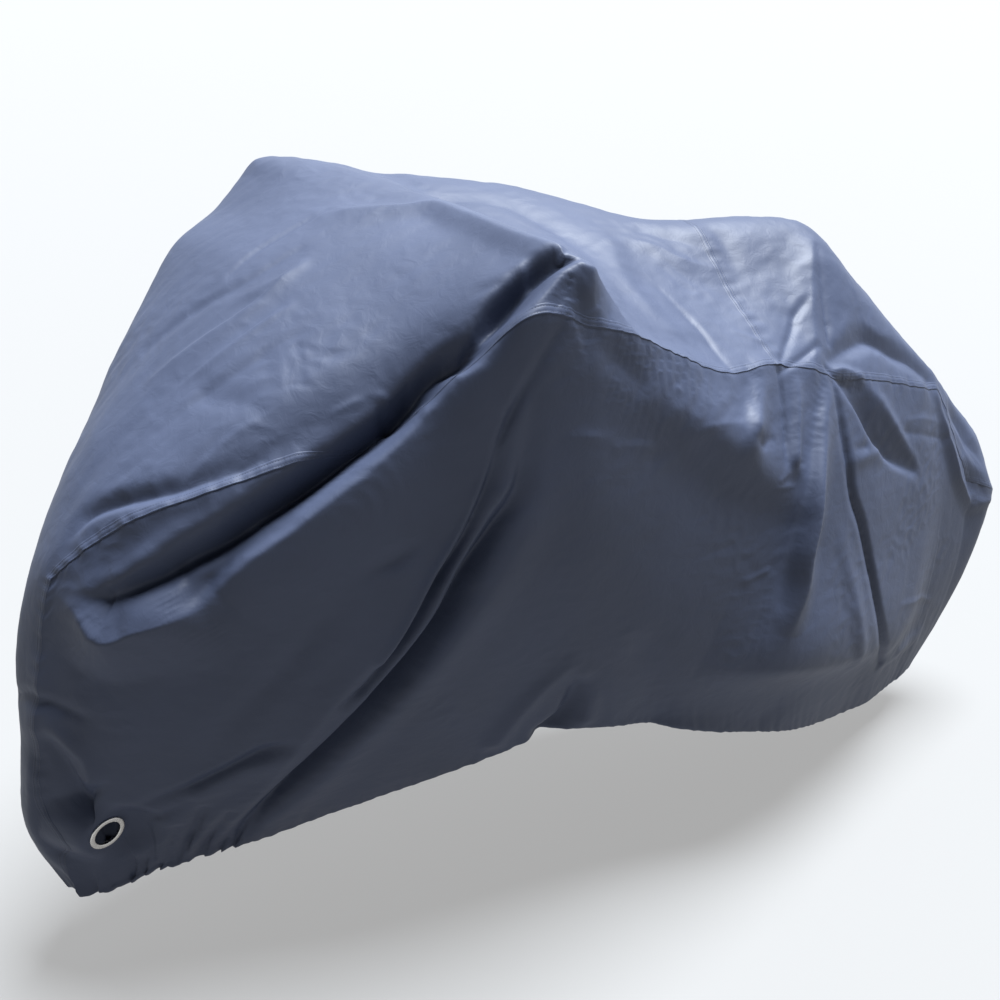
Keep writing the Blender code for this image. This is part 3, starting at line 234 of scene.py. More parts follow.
# Folds. Each one is a ridge along a route of bends, or a trough where the height is negative. It starts
# with its half widths to the left and right of its way, seen from outside, and its crispness, from 0 for
# a soft swell to 1 for a sharp crest. A bend is a place on the cover and the fold's height there.
FOLDS = (
    # the pleat that hangs from the grip down the near side to the front, and the deep valley behind it
    (80, 17, 0.05, (-230,-370,1055,5), (-255,-365,1035,18), (-285,-365,1005,27), (-310,-360,985,33),
     (-335,-350,950,34), (-365,-330,910,34), (-405,-305,865,34), (-450,-295,820,34), (-490,-285,785,33),
     (-535,-275,755,31), (-585,-265,720,27), (-630,-245,685,21), (-670,-235,650,11), (-695,-225,630,3)),
    (18, 15, 0.1, (-330,-340,975,-4), (-345,-335,960,-20), (-360,-320,945,-34), (-375,-310,940,-46),
     (-400,-295,910,-44), (-430,-285,875,-24)),
    (16, 17, 0.2, (-225,-350,1070,-6), (-230,-350,1065,-26), (-250,-345,1060,-44), (-275,-340,1040,-50),
     (-305,-340,1010,-48), (-330,-335,980,-38), (-360,-325,940,-18)),
    (18, 14, 0.15, (-400,-300,895,-8), (-415,-290,890,-30), (-455,-285,860,-48), (-500,-280,835,-50),
     (-560,-265,795,-48), (-620,-245,755,-42), (-665,-230,725,-36), (-705,-215,705,-29), (-735,-205,680,-22),
     (-760,-190,665,-15), (-780,-175,650,-8), (-805,-155,640,-2)),
    (12, 22, 0.2, (-575,-260,785,3), (-615,-250,765,7), (-645,-235,755,10), (-680,-225,735,12),
     (-710,-215,720,14), (-740,-200,700,14), (-775,-180,675,12), (-805,-150,655,5)),
    (16, 8, 0.25, (-820,-100,715,-2.6), (-800,-110,740,-10.4), (-775,-135,760,-13), (-745,-165,775,-13),
     (-710,-190,785,-10.4), (-680,-205,795,-7.8), (-635,-225,810,-5.2), (-600,-235,825,-2.6)),
    (16, 34, 0.4, (-220,-335,1070,2), (-230,-330,1070,6), (-280,-325,1045,8), (-320,-310,1020,8),
     (-340,-315,995,7), (-350,-315,975,6), (-380,-305,935,5), (-390,-305,910,2)),
    (10, 10, 0.5, (-305,-310,1030,-3), (-320,-300,1025,-4), (-335,-295,1015,-2)),
    (10, 10, 0.6, (-275,-315,1050,3), (-270,-335,1045,6), (-255,-355,1045,3)),
    (14, 10, 0.3, (-380,-310,930,5), (-395,-300,910,8), (-410,-295,895,6)),
    (10, 10, 0.3, (-405,-290,910,5), (-425,-285,890,8), (-435,-285,880,5)),
    (10, 10, 0.3, (-390,-310,910,-5), (-400,-300,895,-8)),
    # long folds from the grip to the front hem
    (10, 7, 0.7, (-245,-380,995,-2), (-275,-375,950,-8), (-305,-365,895,-12), (-320,-355,850,-15),
     (-340,-345,775,-19), (-365,-330,705,-23), (-400,-315,635,-25), (-435,-295,555,-23), (-475,-265,485,-16),
     (-510,-250,450,-5)),
    (8, 8, 0.2, (-300,-365,880,2), (-330,-350,815,7), (-360,-335,730,9), (-400,-320,655,10),
     (-430,-300,585,10), (-465,-280,520,6)),
    (18, 10, 0.3, (-285,-370,890,-3), (-290,-365,820,-9), (-300,-355,765,-20), (-320,-345,725,-32),
     (-355,-330,655,-38), (-385,-310,580,-39), (-440,-275,485,-39), (-500,-230,395,-36), (-565,-180,310,-32),
     (-620,-135,230,-25), (-655,-100,170,-14)),
    (10, 10, 0.4, (-305,-355,780,5), (-315,-350,765,6), (-325,-350,750,3)),
    (34, 20, 0.1, (-260,-360,750,3), (-305,-340,650,8), (-375,-300,530,9), (-450,-255,425,9),
     (-515,-190,310,8), (-575,-140,225,4)),
    (16, 30, 0.2, (-460,-285,545,3), (-515,-255,475,7), (-565,-215,390,8), (-610,-175,305,8),
     (-645,-135,240,5)),
    (16, 16, 0.2, (-420,-315,705,-2), (-450,-305,685,-6), (-480,-295,670,-3)),
    (22, 22, 0, (-545,-270,595,-3), (-590,-250,530,-5), (-650,-215,455,-5), (-690,-180,375,-3)),
    # the cone under the grip
    (8, 8, 0.5, (-225,-370,1055,3), (-245,-365,1040,5), (-265,-365,1020,5), (-285,-365,1005,3)),
    (6, 10, 0.6, (-245,-370,1035,-1), (-250,-370,1015,-3), (-260,-375,1000,-3)),
    (10, 34, 0.75, (-235,-345,1070,3), (-230,-365,1060,6), (-210,-375,1050,12), (-195,-360,1035,14),
     (-150,-325,990,15), (-135,-335,965,14), (-120,-345,945,11), (-90,-340,930,4)),
    # the puff under the front corner
    (46, 50, 0.55, (-850,-105,640,3), (-820,-145,615,20), (-795,-170,590,35), (-775,-185,595,37),
     (-755,-195,605,38), (-725,-210,615,36), (-700,-220,625,27), (-685,-230,635,13), (-665,-235,650,3)),
    (12, 12, 0.5, (-815,-150,610,2), (-810,-155,600,4), (-805,-160,585,2)),
    (12, 10, 0.5, (-775,-180,635,-2), (-775,-185,615,-5), (-770,-185,595,-2)),
    (20, 20, 0, (-845,-120,545,-2), (-815,-155,520,-3), (-760,-190,535,-3)),
    (10, 10, 0.4, (-705,-220,635,-1), (-690,-225,655,-4), (-665,-235,685,-6), (-630,-245,715,-5),
     (-580,-265,740,-2)),
    # the lower front, with folds that run to the eyelet
    (20, 8, 0.65, (-585,-215,390,-3), (-620,-200,380,-9), (-670,-180,350,-12), (-720,-160,325,-12),
     (-760,-145,310,-9), (-795,-125,290,-3)),
    (22, 18, 0.2, (-585,-205,365,4), (-635,-185,350,9), (-695,-160,315,9), (-740,-140,285,6)),
    (8, 10, 0.4, (-805,-115,265,-5.1), (-805,-95,215,-15.3), (-805,-80,165,-18.7), (-810,-65,130,-15.3)),
    (8, 7, 0.4, (-765,-125,260,-5.1), (-775,-105,210,-15.3), (-780,-85,170,-18.7), (-790,-70,135,-17)),
    (8, 7, 0.4, (-735,-125,240,-6.8), (-745,-105,200,-15.3), (-755,-85,160,-17), (-765,-75,140,-13.6)),
    (10, 7, 0.5, (-695,-145,275,-6.8), (-710,-120,225,-17), (-725,-100,185,-20.4), (-735,-80,150,-17),
     (-750,-80,145,-11.9)),
    (10, 6, 0.5, (-660,-145,255,-5.1), (-680,-115,205,-15.3), (-695,-95,170,-17), (-705,-85,150,-11.9)),
    (14, 14, 0.3, (-850,-105,335,-3.9), (-860,-85,295,-9.1), (-875,-70,250,-10.4), (-880,-55,205,-7.8)),
    (12, 16, 0.3, (-720,-150,295,-6), (-760,-130,270,-15), (-785,-120,265,-12), (-805,-115,270,-4.5)),
    (10, 10, 0.5, (-905,-20,455,-5), (-895,-65,475,-6), (-870,-100,470,-4), (-840,-130,460,-2)),
    (22, 22, 0.2, (-905,-45,420,4), (-880,-90,435,7), (-850,-115,415,5)),
    (10, 10, 0.4, (-880,-85,405,-4), (-870,-95,365,-9), (-860,-95,330,-11), (-855,-90,295,-8)),
    (12, 12, 0.4, (-865,-105,420,3), (-840,-120,390,7), (-835,-120,350,7)),
    (8, 8, 0.5, (-825,-125,345,-4), (-840,-110,325,-8), (-855,-95,300,-9)),
    (10, 10, 0.4, (-880,-75,305,-4), (-870,-75,275,-8), (-860,-75,235,-8)),
    (20, 20, 0.2, (-905,-55,350,4), (-900,-60,305,7), (-895,-55,250,5)),
    # hem over the pedals
    (18, 18, 0.3, (-180,-300,450,5), (-215,-280,415,8), (-245,-260,365,9), (-265,-225,310,9)),
    (22, 16, 0.2, (-155,-285,400,-13.6), (-160,-265,350,-23.8), (-190,-250,315,-27.2)),
    (16, 16, 0.3, (-155,-295,435,4), (-135,-280,380,8), (-130,-265,330,8)),
    (40, 40, 0, (-55,-305,435,-6), (5,-265,285,-12)),
    # creases across the middle of the side
    (6, 10, 0.5, (-225,-370,835,1.5), (-200,-370,830,2.5), (-160,-365,820,1)),
    (6, 10, 0.5, (-150,-360,805,1), (-110,-350,795,2), (-75,-345,785,0.8)),
    (6, 10, 0.5, (-20,-330,785,1), (35,-315,780,2.4), (95,-300,770,1)),
    (60, 36, 0, (-170,-370,925,4), (-120,-355,880,12), (-45,-335,830,22), (25,-320,785,29), (85,-305,735,29),
     (160,-295,680,19), (225,-285,630,8)),
    (120, 45, 0, (55,-295,395,4), (135,-285,370,20), (225,-275,355,38), (380,-235,315,36), (550,-170,270,24)),
    (60, 30, 0, (-30,-265,295,-6), (90,-265,275,-8), (225,-245,220,-8)),
    (16, 16, 0.2, (-205,-375,960,-2), (-160,-365,925,-5), (-120,-355,885,-4)),
    (5, 5, 0.6, (175,-295,670,1.8), (195,-285,675,1.8)),
    (5, 5, 0.6, (165,-295,660,1.6), (205,-290,655,1.6)),
    (6, 6, 0.5, (120,-305,525,1.6), (165,-300,530,2.2)),
    # tongues and stripe under the saddle
    (24, 22, 0.1, (170,-255,840,2), (155,-270,810,9), (140,-280,785,16), (120,-290,760,22),
     (110,-295,745,19)),
    (10, 10, 0.4, (100,-300,745,-3), (130,-295,730,-7), (160,-285,735,-4)),
    (5, 8, 0.7, (205,-245,825,-5), (205,-260,780,-6), (200,-275,730,-5), (195,-285,695,-2)),
    (16, 12, 0.3, (245,-235,810,3), (240,-250,775,10), (225,-270,730,15), (215,-280,695,15),
     (215,-280,680,9)),
    (10, 12, 0.3, (305,-225,785,-2), (275,-250,725,-4), (245,-280,650,-5), (220,-290,590,-5),
     (205,-295,535,-4), (195,-295,470,-2)),
    (26, 24, 0.3, (330,-215,785,1), (310,-235,745,10), (285,-255,690,20), (265,-275,645,28),
     (250,-285,590,34), (235,-290,545,35), (230,-290,495,28), (215,-290,450,16), (205,-290,415,4)),
    (8, 12, 0.75, (340,-215,780,-5), (355,-235,695,-9), (375,-245,595,-12), (400,-240,540,-13),
     (430,-235,460,-13), (465,-215,365,-12), (510,-185,275,-11), (555,-155,200,-6)),
    (18, 18, 0.2, (345,-260,525,2), (370,-250,450,5), (400,-235,360,6), (430,-210,265,5)),
    # bright triangle above the rear hem
    (20, 18, 0.3, (575,-145,195,4), (625,-125,195,7), (695,-90,185,4)),
    # wedge under the rear seam and the facets round it
    (36, 10, 0.3, (355,-210,780,-4), (390,-205,750,-14), (420,-205,715,-22), (445,-200,675,-24),
     (495,-190,625,-20), (555,-170,585,-11), (605,-150,555,-2)),
    (14, 14, 0.4, (430,-185,755,2), (475,-180,715,6), (520,-170,660,8), (565,-160,610,6), (605,-150,565,2)),
    (8, 8, 0.3, (390,-230,665,-2), (415,-220,660,-3)),
    (14, 14, 0.2, (370,-235,645,3), (410,-225,645,5), (455,-205,640,3)),
    (12, 18, 0.4, (350,-190,810,-5), (415,-160,820,-13), (475,-130,815,-17), (545,-115,780,-16),
     (605,-100,745,-13), (670,-85,690,-5)),
    (9, 10, 0.4, (345,-205,795,4), (375,-195,790,10), (420,-185,770,6)),
    (8, 12, 0.5, (480,-120,835,2), (515,-115,810,4), (560,-100,790,2)),
    (18, 10, 0.7, (680,-90,665,5), (700,-90,615,9), (730,-90,555,12), (755,-85,500,13), (785,-75,460,12),
     (825,-65,415,8)),
    (12, 14, 0.3, (750,-60,625,-5), (790,-50,585,-11), (820,-50,540,-10), (850,-45,510,-5)),
    (12, 12, 0.3, (795,-65,520,5), (830,-60,490,8), (865,-55,465,5)),
    (12, 12, 0.3, (820,-65,440,5), (845,-60,420,9), (890,-50,410,5)),
    (6, 8, 0.5, (550,-155,660,1), (610,-135,650,2), (685,-100,620,1)),
    (6, 8, 0.5, (535,-165,650,-1), (625,-130,615,-2), (730,-85,575,-1)),
    (6, 8, 0.5, (555,-180,335,1), (640,-135,305,2), (720,-95,260,1)),
    # saddle
    (20, 30, 0.7, (410,-55,965,3), (385,-85,945,8), (355,-125,895,10), (340,-150,870,10), (320,-185,835,9),
     (295,-215,810,5)),
    (8, 6, 0.6, (345,-130,890,-2), (305,-150,875,-5), (280,-175,860,-6), (220,-230,835,-4)),
    (10, 6, 0.7, (405,-70,955,-2), (380,-115,900,-5), (370,-145,865,-6), (360,-170,830,-5)),
    (6, 6, 0.6, (210,-245,825,-3), (275,-210,825,-6), (325,-185,830,-3)),
    (7, 7, 0.6, (330,-205,800,-5), (355,-210,785,-7), (390,-200,765,-4)),
    # crown
    (20, 22, 0.4, (-390,40,1065,4), (-350,0,1070,9), (-310,-35,1075,11), (-270,-80,1080,12),
     (-255,-215,1075,12), (-240,-305,1070,11), (-230,-345,1070,6)),
    (30, 24, 0.1, (-270,55,1090,-3), (-175,85,1070,-9), (-95,45,1050,-11), (-55,-35,1025,-10),
     (-35,-90,1000,-5)),
    (6, 14, 0.3, (-675,-20,885,1.5), (-635,-30,915,3), (-565,-50,960,4), (-515,-50,990,4), (-465,-35,1020,2)),
    (8, 16, 0.2, (-660,55,905,-1.5), (-585,30,960,-4), (-530,5,995,-5), (-455,-5,1030,-3)),
    (6, 12, 0.3, (-535,45,1000,-2), (-495,55,1020,-4), (-460,55,1040,-4), (-390,55,1070,-2)),
    (10, 14, 0.2, (-535,-25,985,2), (-505,-40,1000,4), (-470,-45,1015,2)),
    (6, 10, 0.5, (-655,-75,885,1), (-585,-90,935,2.4), (-535,-95,965,3), (-505,-100,980,1)),
    (10, 18, 0.2, (-695,-110,840,-1), (-635,-120,885,-3), (-565,-140,930,-3), (-510,-145,960,-1)),
    (8, 10, 0.4, (-690,-195,800,1), (-630,-200,845,2), (-580,-215,880,1)),
    (22, 18, 0.2, (-640,-90,890,-2), (-630,-135,885,-4), (-610,-165,885,-4), (-590,-200,885,-2)),
    (5, 5, 0.5, (-540,-145,940,0.5), (-545,-170,925,1), (-555,-195,910,0.5)),
    (5, 5, 0.5, (-520,-160,945,-0.7), (-525,-185,930,-1.1), (-535,-220,910,-0.7)),
    (5, 7, 0.5, (-520,-160,945,-0.8), (-500,-195,945,-1.4), (-470,-225,945,-0.6)),
    (5, 7, 0.5, (-520,-190,935,-0.5), (-500,-205,940,-1), (-475,-230,940,-0.5)),
    (5, 5, 0.5, (-550,-205,910,-0.7), (-535,-215,910,-1), (-525,-225,905,-0.5)),
    (5, 8, 0.5, (-460,-265,900,1), (-445,-275,895,3), (-430,-285,875,3)),
    (10, 6, 0.6, (-450,-275,880,-5), (-435,-285,875,-8)),
    (6, 6, 0.4, (-510,-255,880,1), (-485,-260,890,2), (-475,-265,895,1)),
    (10, 20, 0.5, (60,-40,1000,2), (105,-60,980,5), (140,-80,965,6), (180,-85,950,4), (205,-90,940,1)),
    (6, 14, 0.6, (60,-140,945,-1.5), (85,-200,900,-4), (90,-245,870,-4), (95,-275,855,-2)),
    (22, 18, 0.2, (225,-30,995,-3), (235,-50,980,-7), (235,-70,955,-4)),
    (16, 12, 0.3, (95,-20,1005,-3), (140,-40,995,-5), (185,-55,980,-3)),
    (5, 8, 0.6, (160,-195,880,1), (200,-205,865,2), (225,-215,845,1)),
    # the far side and the top
    (26, 26, 0.4, (-400,380,1000,8), (-470,345,935,28), (-560,280,855,30), (-660,210,765,14)),
    (26, 26, 0.2, (-430,375,1040,-10), (-520,315,960,-22), (-620,245,868,-20), (-700,195,800,-8)),
    (30, 30, 0.1, (-400,380,930,-6), (-450,340,750,-18), (-540,250,520,-20), (-640,155,300,-8)),
    (24, 24, 0.3, (-350,385,930,6), (-380,360,750,14), (-450,295,550,14), (-530,205,360,6)),
    (30, 30, 0.1, (-110,300,430,-8), (-160,265,320,-12)),
    (22, 18, 0.5, (285,230,780,10), (262,270,620,16), (220,270,420,5)),
    (18, 24, 0.5, (372,205,765,-10), (420,225,550,-16), (500,185,280,-6)),
    (24, 24, 0.3, (450,190,705,-12), (560,160,605,-14), (640,140,500,-5)),
    (30, 30, 0, (-235,230,1085,-10), (-200,80,1075,-12), (-150,-60,1050,-8)),
    (24, 24, 0.2, (20,-60,1000,6), (-10,-150,960,8), (10,-235,915,6)),
)

# Lock eyelets, in metres: centre, and the direction that the flange faces
EYELETS = {
    "left": ((-0.822, -0.098, 0.247), (0.28, -0.92, -0.27)),
    "right": ((-0.815, 0.086, 0.247), (0.10, 0.97, -0.20)),
}


# ---- curves and noise
SEED_SHIFT = np.array((13.7, 5.1, 9.3))
HASH = (73856093, 19349663, 83492791)
HASH_MIX = 1274126177
NOISE_GAIN = 1.6          # brings the noise to about -1 and 1


def ease(value):
    """0 below 0, 1 above 1, smooth between."""
    value = np.clip(value, 0.0, 1.0)
    return value * value * (3 - 2 * value)


def unit(vectors):
    vectors = np.asarray(vectors, float)
    return vectors / np.maximum(np.linalg.norm(vectors, axis=-1, keepdims=True), TINY)


def hermite(start, slope_start, end, slope_end, part):
    square, cube = part * part, part ** 3
    return ((2 * cube - 3 * square + 1) * start + (cube - 2 * square + part) * slope_start
            + (3 * square - 2 * cube) * end + (cube - square) * slope_end)


def along(points, where):
    """Points (..., knots, 3) read at places counted in knots, giving (..., places, 3)."""
    legs = points[..., 1:, :] - points[..., :-1, :]
    spans = np.maximum(np.linalg.norm(legs, axis=-1, keepdims=True), TINY)
    ways = unit(legs[..., :-1, :] / spans[..., :-1, :] + legs[..., 1:, :] / spans[..., 1:, :])
    inner = ways * np.minimum(spans[..., :-1, :], spans[..., 1:, :])
    slopes = np.concatenate([legs[..., :1, :], inner, legs[..., -1:, :]], axis=-2)
    index = np.clip(np.floor(where).astype(int), 0, points.shape[-2] - 2)
    part = (where - index)[:, None]
    return hermite(points[..., index, :], slopes[..., index, :],
                   points[..., index + 1, :], slopes[..., index + 1, :], part)


def value_along(values, where):
    """A table's values at places counted in rows, eased from one row to the next."""
    last = len(values) - 1
    index = np.clip(np.floor(where).astype(int), 0, last - 1)
    before, after = values[np.maximum(index - 1, 0)], values[np.minimum(index + 2, last)]
    start, end = values[index], values[index + 1]
    return hermite(start, (end - before) / 2, end, (after - start) / 2, (where - index)[:, None])


def noise(spots, size, seed):
    """Smooth noise between about -1 and 1, with lumps of the given size."""
    spots = np.asarray(spots, float) / size + seed * SEED_SHIFT
    cell = np.floor(spots).astype(np.int64)
    local = spots - cell
    fade = local ** 3 * (local * (local * 6 - 15) + 10)
    total = np.zeros(spots.shape[:-1])
    for corner in itertools.product((0, 1), repeat=3):
        at = cell + corner
        code = (at[..., 0] * HASH[0]) ^ (at[..., 1] * HASH[1]) ^ (at[..., 2] * HASH[2])
        code = ((code ^ (code >> 13)) * HASH_MIX) & 0xFFFFFFFF
        turn = (code & 0xFFFF) / 65536 * 2 * math.pi
        rise = ((code >> 16) & 0xFFFF) / 32768 - 1
        level = np.sqrt(1 - rise ** 2)
        slope = np.stack([np.cos(turn) * level, np.sin(turn) * level, rise], -1)
        share = np.prod(np.where(np.array(corner) == 1, fade, 1 - fade), axis=-1)
        total += share * (slope * (local - corner)).sum(-1)
    return NOISE_GAIN * total


def lumps(spots, kinds):
    """Several noises together, each given by its height, size and seed."""
    return sum(height * noise(spots, size, seed) for height, size, seed in kinds)


def ripple(lengths, size, seed):
    """Noise along a line, for gathers and puckers."""
    spots = np.zeros(np.shape(lengths) + (3,))
    spots[..., 0] = lengths
    return noise(spots, size, seed)


def lengths_along(points, axis):
    """Distance along a grid's lines, from 0."""
    steps = np.linalg.norm(np.diff(points, axis=axis), axis=-1)
    start = np.zeros_like(np.take(steps, [0], axis=axis))
    return np.concatenate([start, np.cumsum(steps, axis=axis)], axis=axis)


# ---- the draped surface
class Side:
    """One side panel's tables as arrays, with its outward direction in Y."""

    def __init__(self, stations, eyelet, outward_y):
        table = np.array(stations) * MM
        belly, lean = table[:, 6], table[:, 7]
        self.seam, self.hem = table[:, :3], table[:, 3:6]
        self.bulge = np.stack([lean, belly * outward_y, np.zeros(len(table))], -1)
        self.eyelet = np.array(eyelet[0])
        self.face = unit(eyelet[1])

    def seam_points(self, stations):
        stations = np.asarray(stations, float)
        front = along(self.seam[:TAIL_CORNER + 1], np.minimum(stations, TAIL_CORNER))
        back = along(self.seam[TAIL_CORNER:], np.maximum(stations - TAIL_CORNER, 0))
        return np.where((stations <= TAIL_CORNER)[:, None], front, back)

    def points(self, stations, down):
        """A grid of places, down 0 at the seam and 1 at the hem."""
        stations, down = np.asarray(stations, float), np.asarray(down, float)[:, None, None]
        top, bottom = self.seam_points(stations), along(self.hem, stations)
        return top + (bottom - top) * down + value_along(self.bulge, stations) * 4 * down * (1 - down)

    def off_eyelet(self, places):
        """Heights of places off the eyelet's face, and their distances from its axis."""
        rise = (places - self.eyelet) @ self.face
        return rise, np.linalg.norm(places - self.eyelet - rise[:, None] * self.face, axis=1)


SIDES = {
    "left": Side(LEFT, EYELETS["left"], -1.0),
    "right": Side(RIGHT, EYELETS["right"], 1.0),
}
CENTRE_KNOTS = np.array(CENTRE).reshape(len(CENTRE), 3, 3) * MM


def centre_points(rows, columns):
    """A grid of places on the centre panel, spread across it: rows below 0 are on the gusset."""
    rows = np.asarray(rows, float)
    fine = np.linspace(0, 1, ACROSS_SAMPLES)
    edges = []
    for side in SIDES.values():
        gusset = side.points([0.0], np.clip(-rows / GUSSET_ROWS, 0, 1))[:, 0]
        edges.append(np.where((rows < 0)[:, None], gusset, side.seam_points(np.maximum(rows, 0))))
    inner = [along(CENTRE_KNOTS[:, knot], rows + GUSSET_ROWS) for knot in range(3)]
    places = along(np.stack([edges[0], *inner, edges[1]], axis=1), 4 * fine)

    # the last row is the side panels' own seam across the back
    near_end = ease(rows - TAIL_CORNER + 1)[:, None, None]
    corners = [side.seam_points([float(TAIL_CORNER)])[0] for side in SIDES.values()]
    plain = along(np.stack([corners[0], *CENTRE_KNOTS[TAIL_CORNER + GUSSET_ROWS], corners[1]]), 4 * fine)
    left = SIDES["left"].seam_points(TAIL_CORNER + 4 * np.minimum(fine, 0.5))
    right = SIDES["right"].seam_points(TAIL_CORNER + 4 * np.minimum(1 - fine, 0.5))
    places = places + near_end * (np.where((fine <= 0.5)[:, None], left, right) - plain)

    lengths = lengths_along(places, 1)
    wanted = np.linspace(0, 1, columns + 1)
    spread = np.empty((len(rows), columns + 1, 3))
    for row, length in enumerate(lengths):
        share = EVENNESS * length / length[-1] + (1 - EVENNESS) * fine
        for axis in range(3):
            spread[row, :, axis] = np.interp(wanted, share, places[row, :, axis])
    return spread


def outward(places):
    """Direction in which folds stand out of the cover at each place."""
    spine = SPINE_BACK - SPINE_FRONT
    part = np.clip((places - SPINE_FRONT) @ spine / (spine @ spine), 0, 1)
    away = places - (SPINE_FRONT + part[..., None] * spine)
    away[..., 2] *= np.where(away[..., 2] < 0, DOWNWARD, 1.0)
    return unit(away)


def fold_lift(places, direction):
    """How far the folds lift the cloth at each place. Distances are across the outward direction."""
    lift = np.zeros(len(places))
    for left, right, crisp, *bends in FOLDS:
        left, right, spans = left * MM, right * MM, len(bends) - 1
        route = value_along(np.array(bends) * MM, np.linspace(0, spans, ROUTE_STEPS * spans + 1))
        reach = FOLD_REACH * max(left, right) + FOLD_DEPTH
        low, high = route[:, :3].min(0) - reach, route[:, :3].max(0) + reach
        near = np.flatnonzero(((places > low) & (places < high)).all(1))
        if not near.size:
            continue
        spot, out = places[near], direction[near]
        best, height, turn = np.full(len(near), FAR), np.zeros(len(near)), np.zeros(len(near))
        for start, end in zip(route[:-1], route[1:]):
            step = end[:3] - start[:3]
            gap = spot - start[:3]
            part = np.clip(gap @ step / max(step @ step, TINY), 0, 1)
            gap = gap - part[:, None] * step
            depth = (gap * out).sum(1)
            gap = gap - depth[:, None] * out
            distance = np.linalg.norm(gap, axis=1) + np.where(np.abs(depth) > FOLD_DEPTH, 1.0, 0.0)
            closer = distance < best
            best = np.where(closer, distance, best)
            height = np.where(closer, start[3] + part * (end[3] - start[3]), height)
            sideways = (np.cross(step, gap) * out).sum(1)
            sideways /= np.maximum(np.linalg.norm(step) * distance, TINY)
            turn = np.where(closer, sideways, turn)
        share = best / ((left + right) / 2 + (left - right) / 2 * turn)
        crest = np.clip(1 - share / 2, 0, 1) ** 2
        lift[near] += height * (crisp * crest + (1 - crisp) * np.exp(-share ** 2))
    return lift


def drape(places):
    """The cloth's places once its folds are in it and it lies flat round the eyelets."""
    shape = places.shape
    places = places.reshape(-1, 3)
    direction = outward(places)
    lift = fold_lift(places, direction) + lumps(places, SWELLS) + lumps(places * FINE_STRETCH, FINE_LUMPS)
    patches = ease(noise(places, PATCH_SIZE, PATCH_SEED) + PATCH_SHARE)
    lift += CRINKLE * patches * (0.5 - 2 * np.abs(noise(places, CRINKLE_SIZE, CRINKLE_SEED)))
    top = ease((direction[..., 2] - TOP_FROM) / TOP_BLEND)
    lift += top * lumps(places @ CROWN_GRAIN, TOP_LUMPS)
    places = places + direction * lift[:, None]
    for side in SIDES.values():
        rise, distance = side.off_eyelet(places)
        flat = (1 - ease((distance - EYELET_FLAT) / EYELET_FADE)) * (np.abs(rise) < 2 * EYELET_FLAT)
        places = places - (rise * flat)[:, None] * side.face
    return places.reshape(shape)


def even_stations(count):
    """Stations spaced evenly over the middle of the left side panel."""
    fine = np.linspace(0, LAST, SEAM_SAMPLES)
    length = lengths_along(SIDES["left"].points(fine, [MIDDLE_DOWN])[0], 0)
    return np.interp(np.linspace(0, length[-1], count + 1), length, fine)


# ---- meshes
def grid_faces(rows, columns, first=0):
    corner = first + np.arange(rows - 1)[:, None] * columns + np.arange(columns - 1)
    return np.stack([corner, corner + 1, corner + columns + 1, corner + columns], -1).reshape(-1, 4)


def new_object(name, data):
    made = bpy.data.objects.new(name, data)
    bpy.context.scene.collection.objects.link(made)
    return made


def add_mesh(name, points, faces, material, uv=None):
    """A smooth-shaded mesh from arrays of points, measured from the ground, and faces."""
    mesh = bpy.data.meshes.new(name)
    mesh.vertices.add(len(points))
    mesh.vertices.foreach_set("co", (points - ORIGIN).astype(np.float32).ravel())
    count = faces.shape[1]
    mesh.loops.add(faces.size)
    mesh.loops.foreach_set("vertex_index", faces.astype(np.int32).ravel())
    mesh.polygons.add(len(faces))
    mesh.polygons.foreach_set("loop_start", np.arange(0, faces.size, count, dtype=np.int32))
    mesh.update(calc_edges=True)
    mesh.shade_smooth()
    if uv is not None:
        layer = mesh.uv_layers.new(name="cloth")
        layer.data.foreach_set("uv", uv[faces].astype(np.float32).ravel())
    mesh.validate()
    mesh.materials.append(material)
    piece = new_object(name, mesh)
    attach(piece, "root")
    return piece


# ---- puckers, gathers and hems
def pucker(distance, arc, seed):
    """Small waves that the sewing draws into the cloth beside a seam."""
    waves = sum(height * ripple(arc, size, seed + place) for place, (height, size) in enumerate(PUCKERS))
    return waves * np.exp(-(distance / PUCKER_WIDTH) ** 2)


def seam_arcs(side, stations):
    """Lengths along a side's seam at its stations, measured from the front corner."""
    fine = np.linspace(0, LAST, SEAM_SAMPLES)
    return np.interp(stations, fine, lengths_along(side.seam_points(fine), 0))


def gusset_arcs(side, down):
    """Lengths down the seam between a side panel and the gusset, counted below 0."""
    fine = np.linspace(0, 1, GUSSET_SAMPLES)
    return -np.interp(down, fine, lengths_along(side.points([0.0], fine)[:, 0], 0))


def gathered(kind, waves, to_hem, front):
    """Waves at a gather's height by the hem, fading upwards."""
    return (kind.slack + kind.front * front) * waves * np.exp(-(to_hem / kind.reach) ** 2)


def gather(to_hem, arc, front, seed):
    """Pleats that the hem's elastic draws up: tight where front is 1, slack where it is 0."""
    spread = arc + FAN * to_hem * ripple(arc, FAN_SIZE, seed + 7)
    short = ripple(spread, SHORT_GATHER.length, seed)
    broad = PLEAT_TOP - PLEAT_SLOPE * np.abs(ripple(spread, BROAD_GATHER.length, seed + 3))
    return gathered(SHORT_GATHER, short, to_hem, front) + gathered(BROAD_GATHER, broad, to_hem, front)


def hem_rows(edge, before):
    """Rows that turn the cloth's edge inwards round the elastic."""
    downward = unit(edge - before)
    inward = -outward(edge)
    inward = unit(inward - (inward * downward).sum(1, keepdims=True) * downward)
    turns = [HEM_CURL * (step + 1) / HEM_TURN for step in range(HEM_TURN)]
    return np.stack([edge + HEM_RADIUS * ((1 - math.cos(turn)) * inward + math.sin(turn) * downward)
                     for turn in turns])


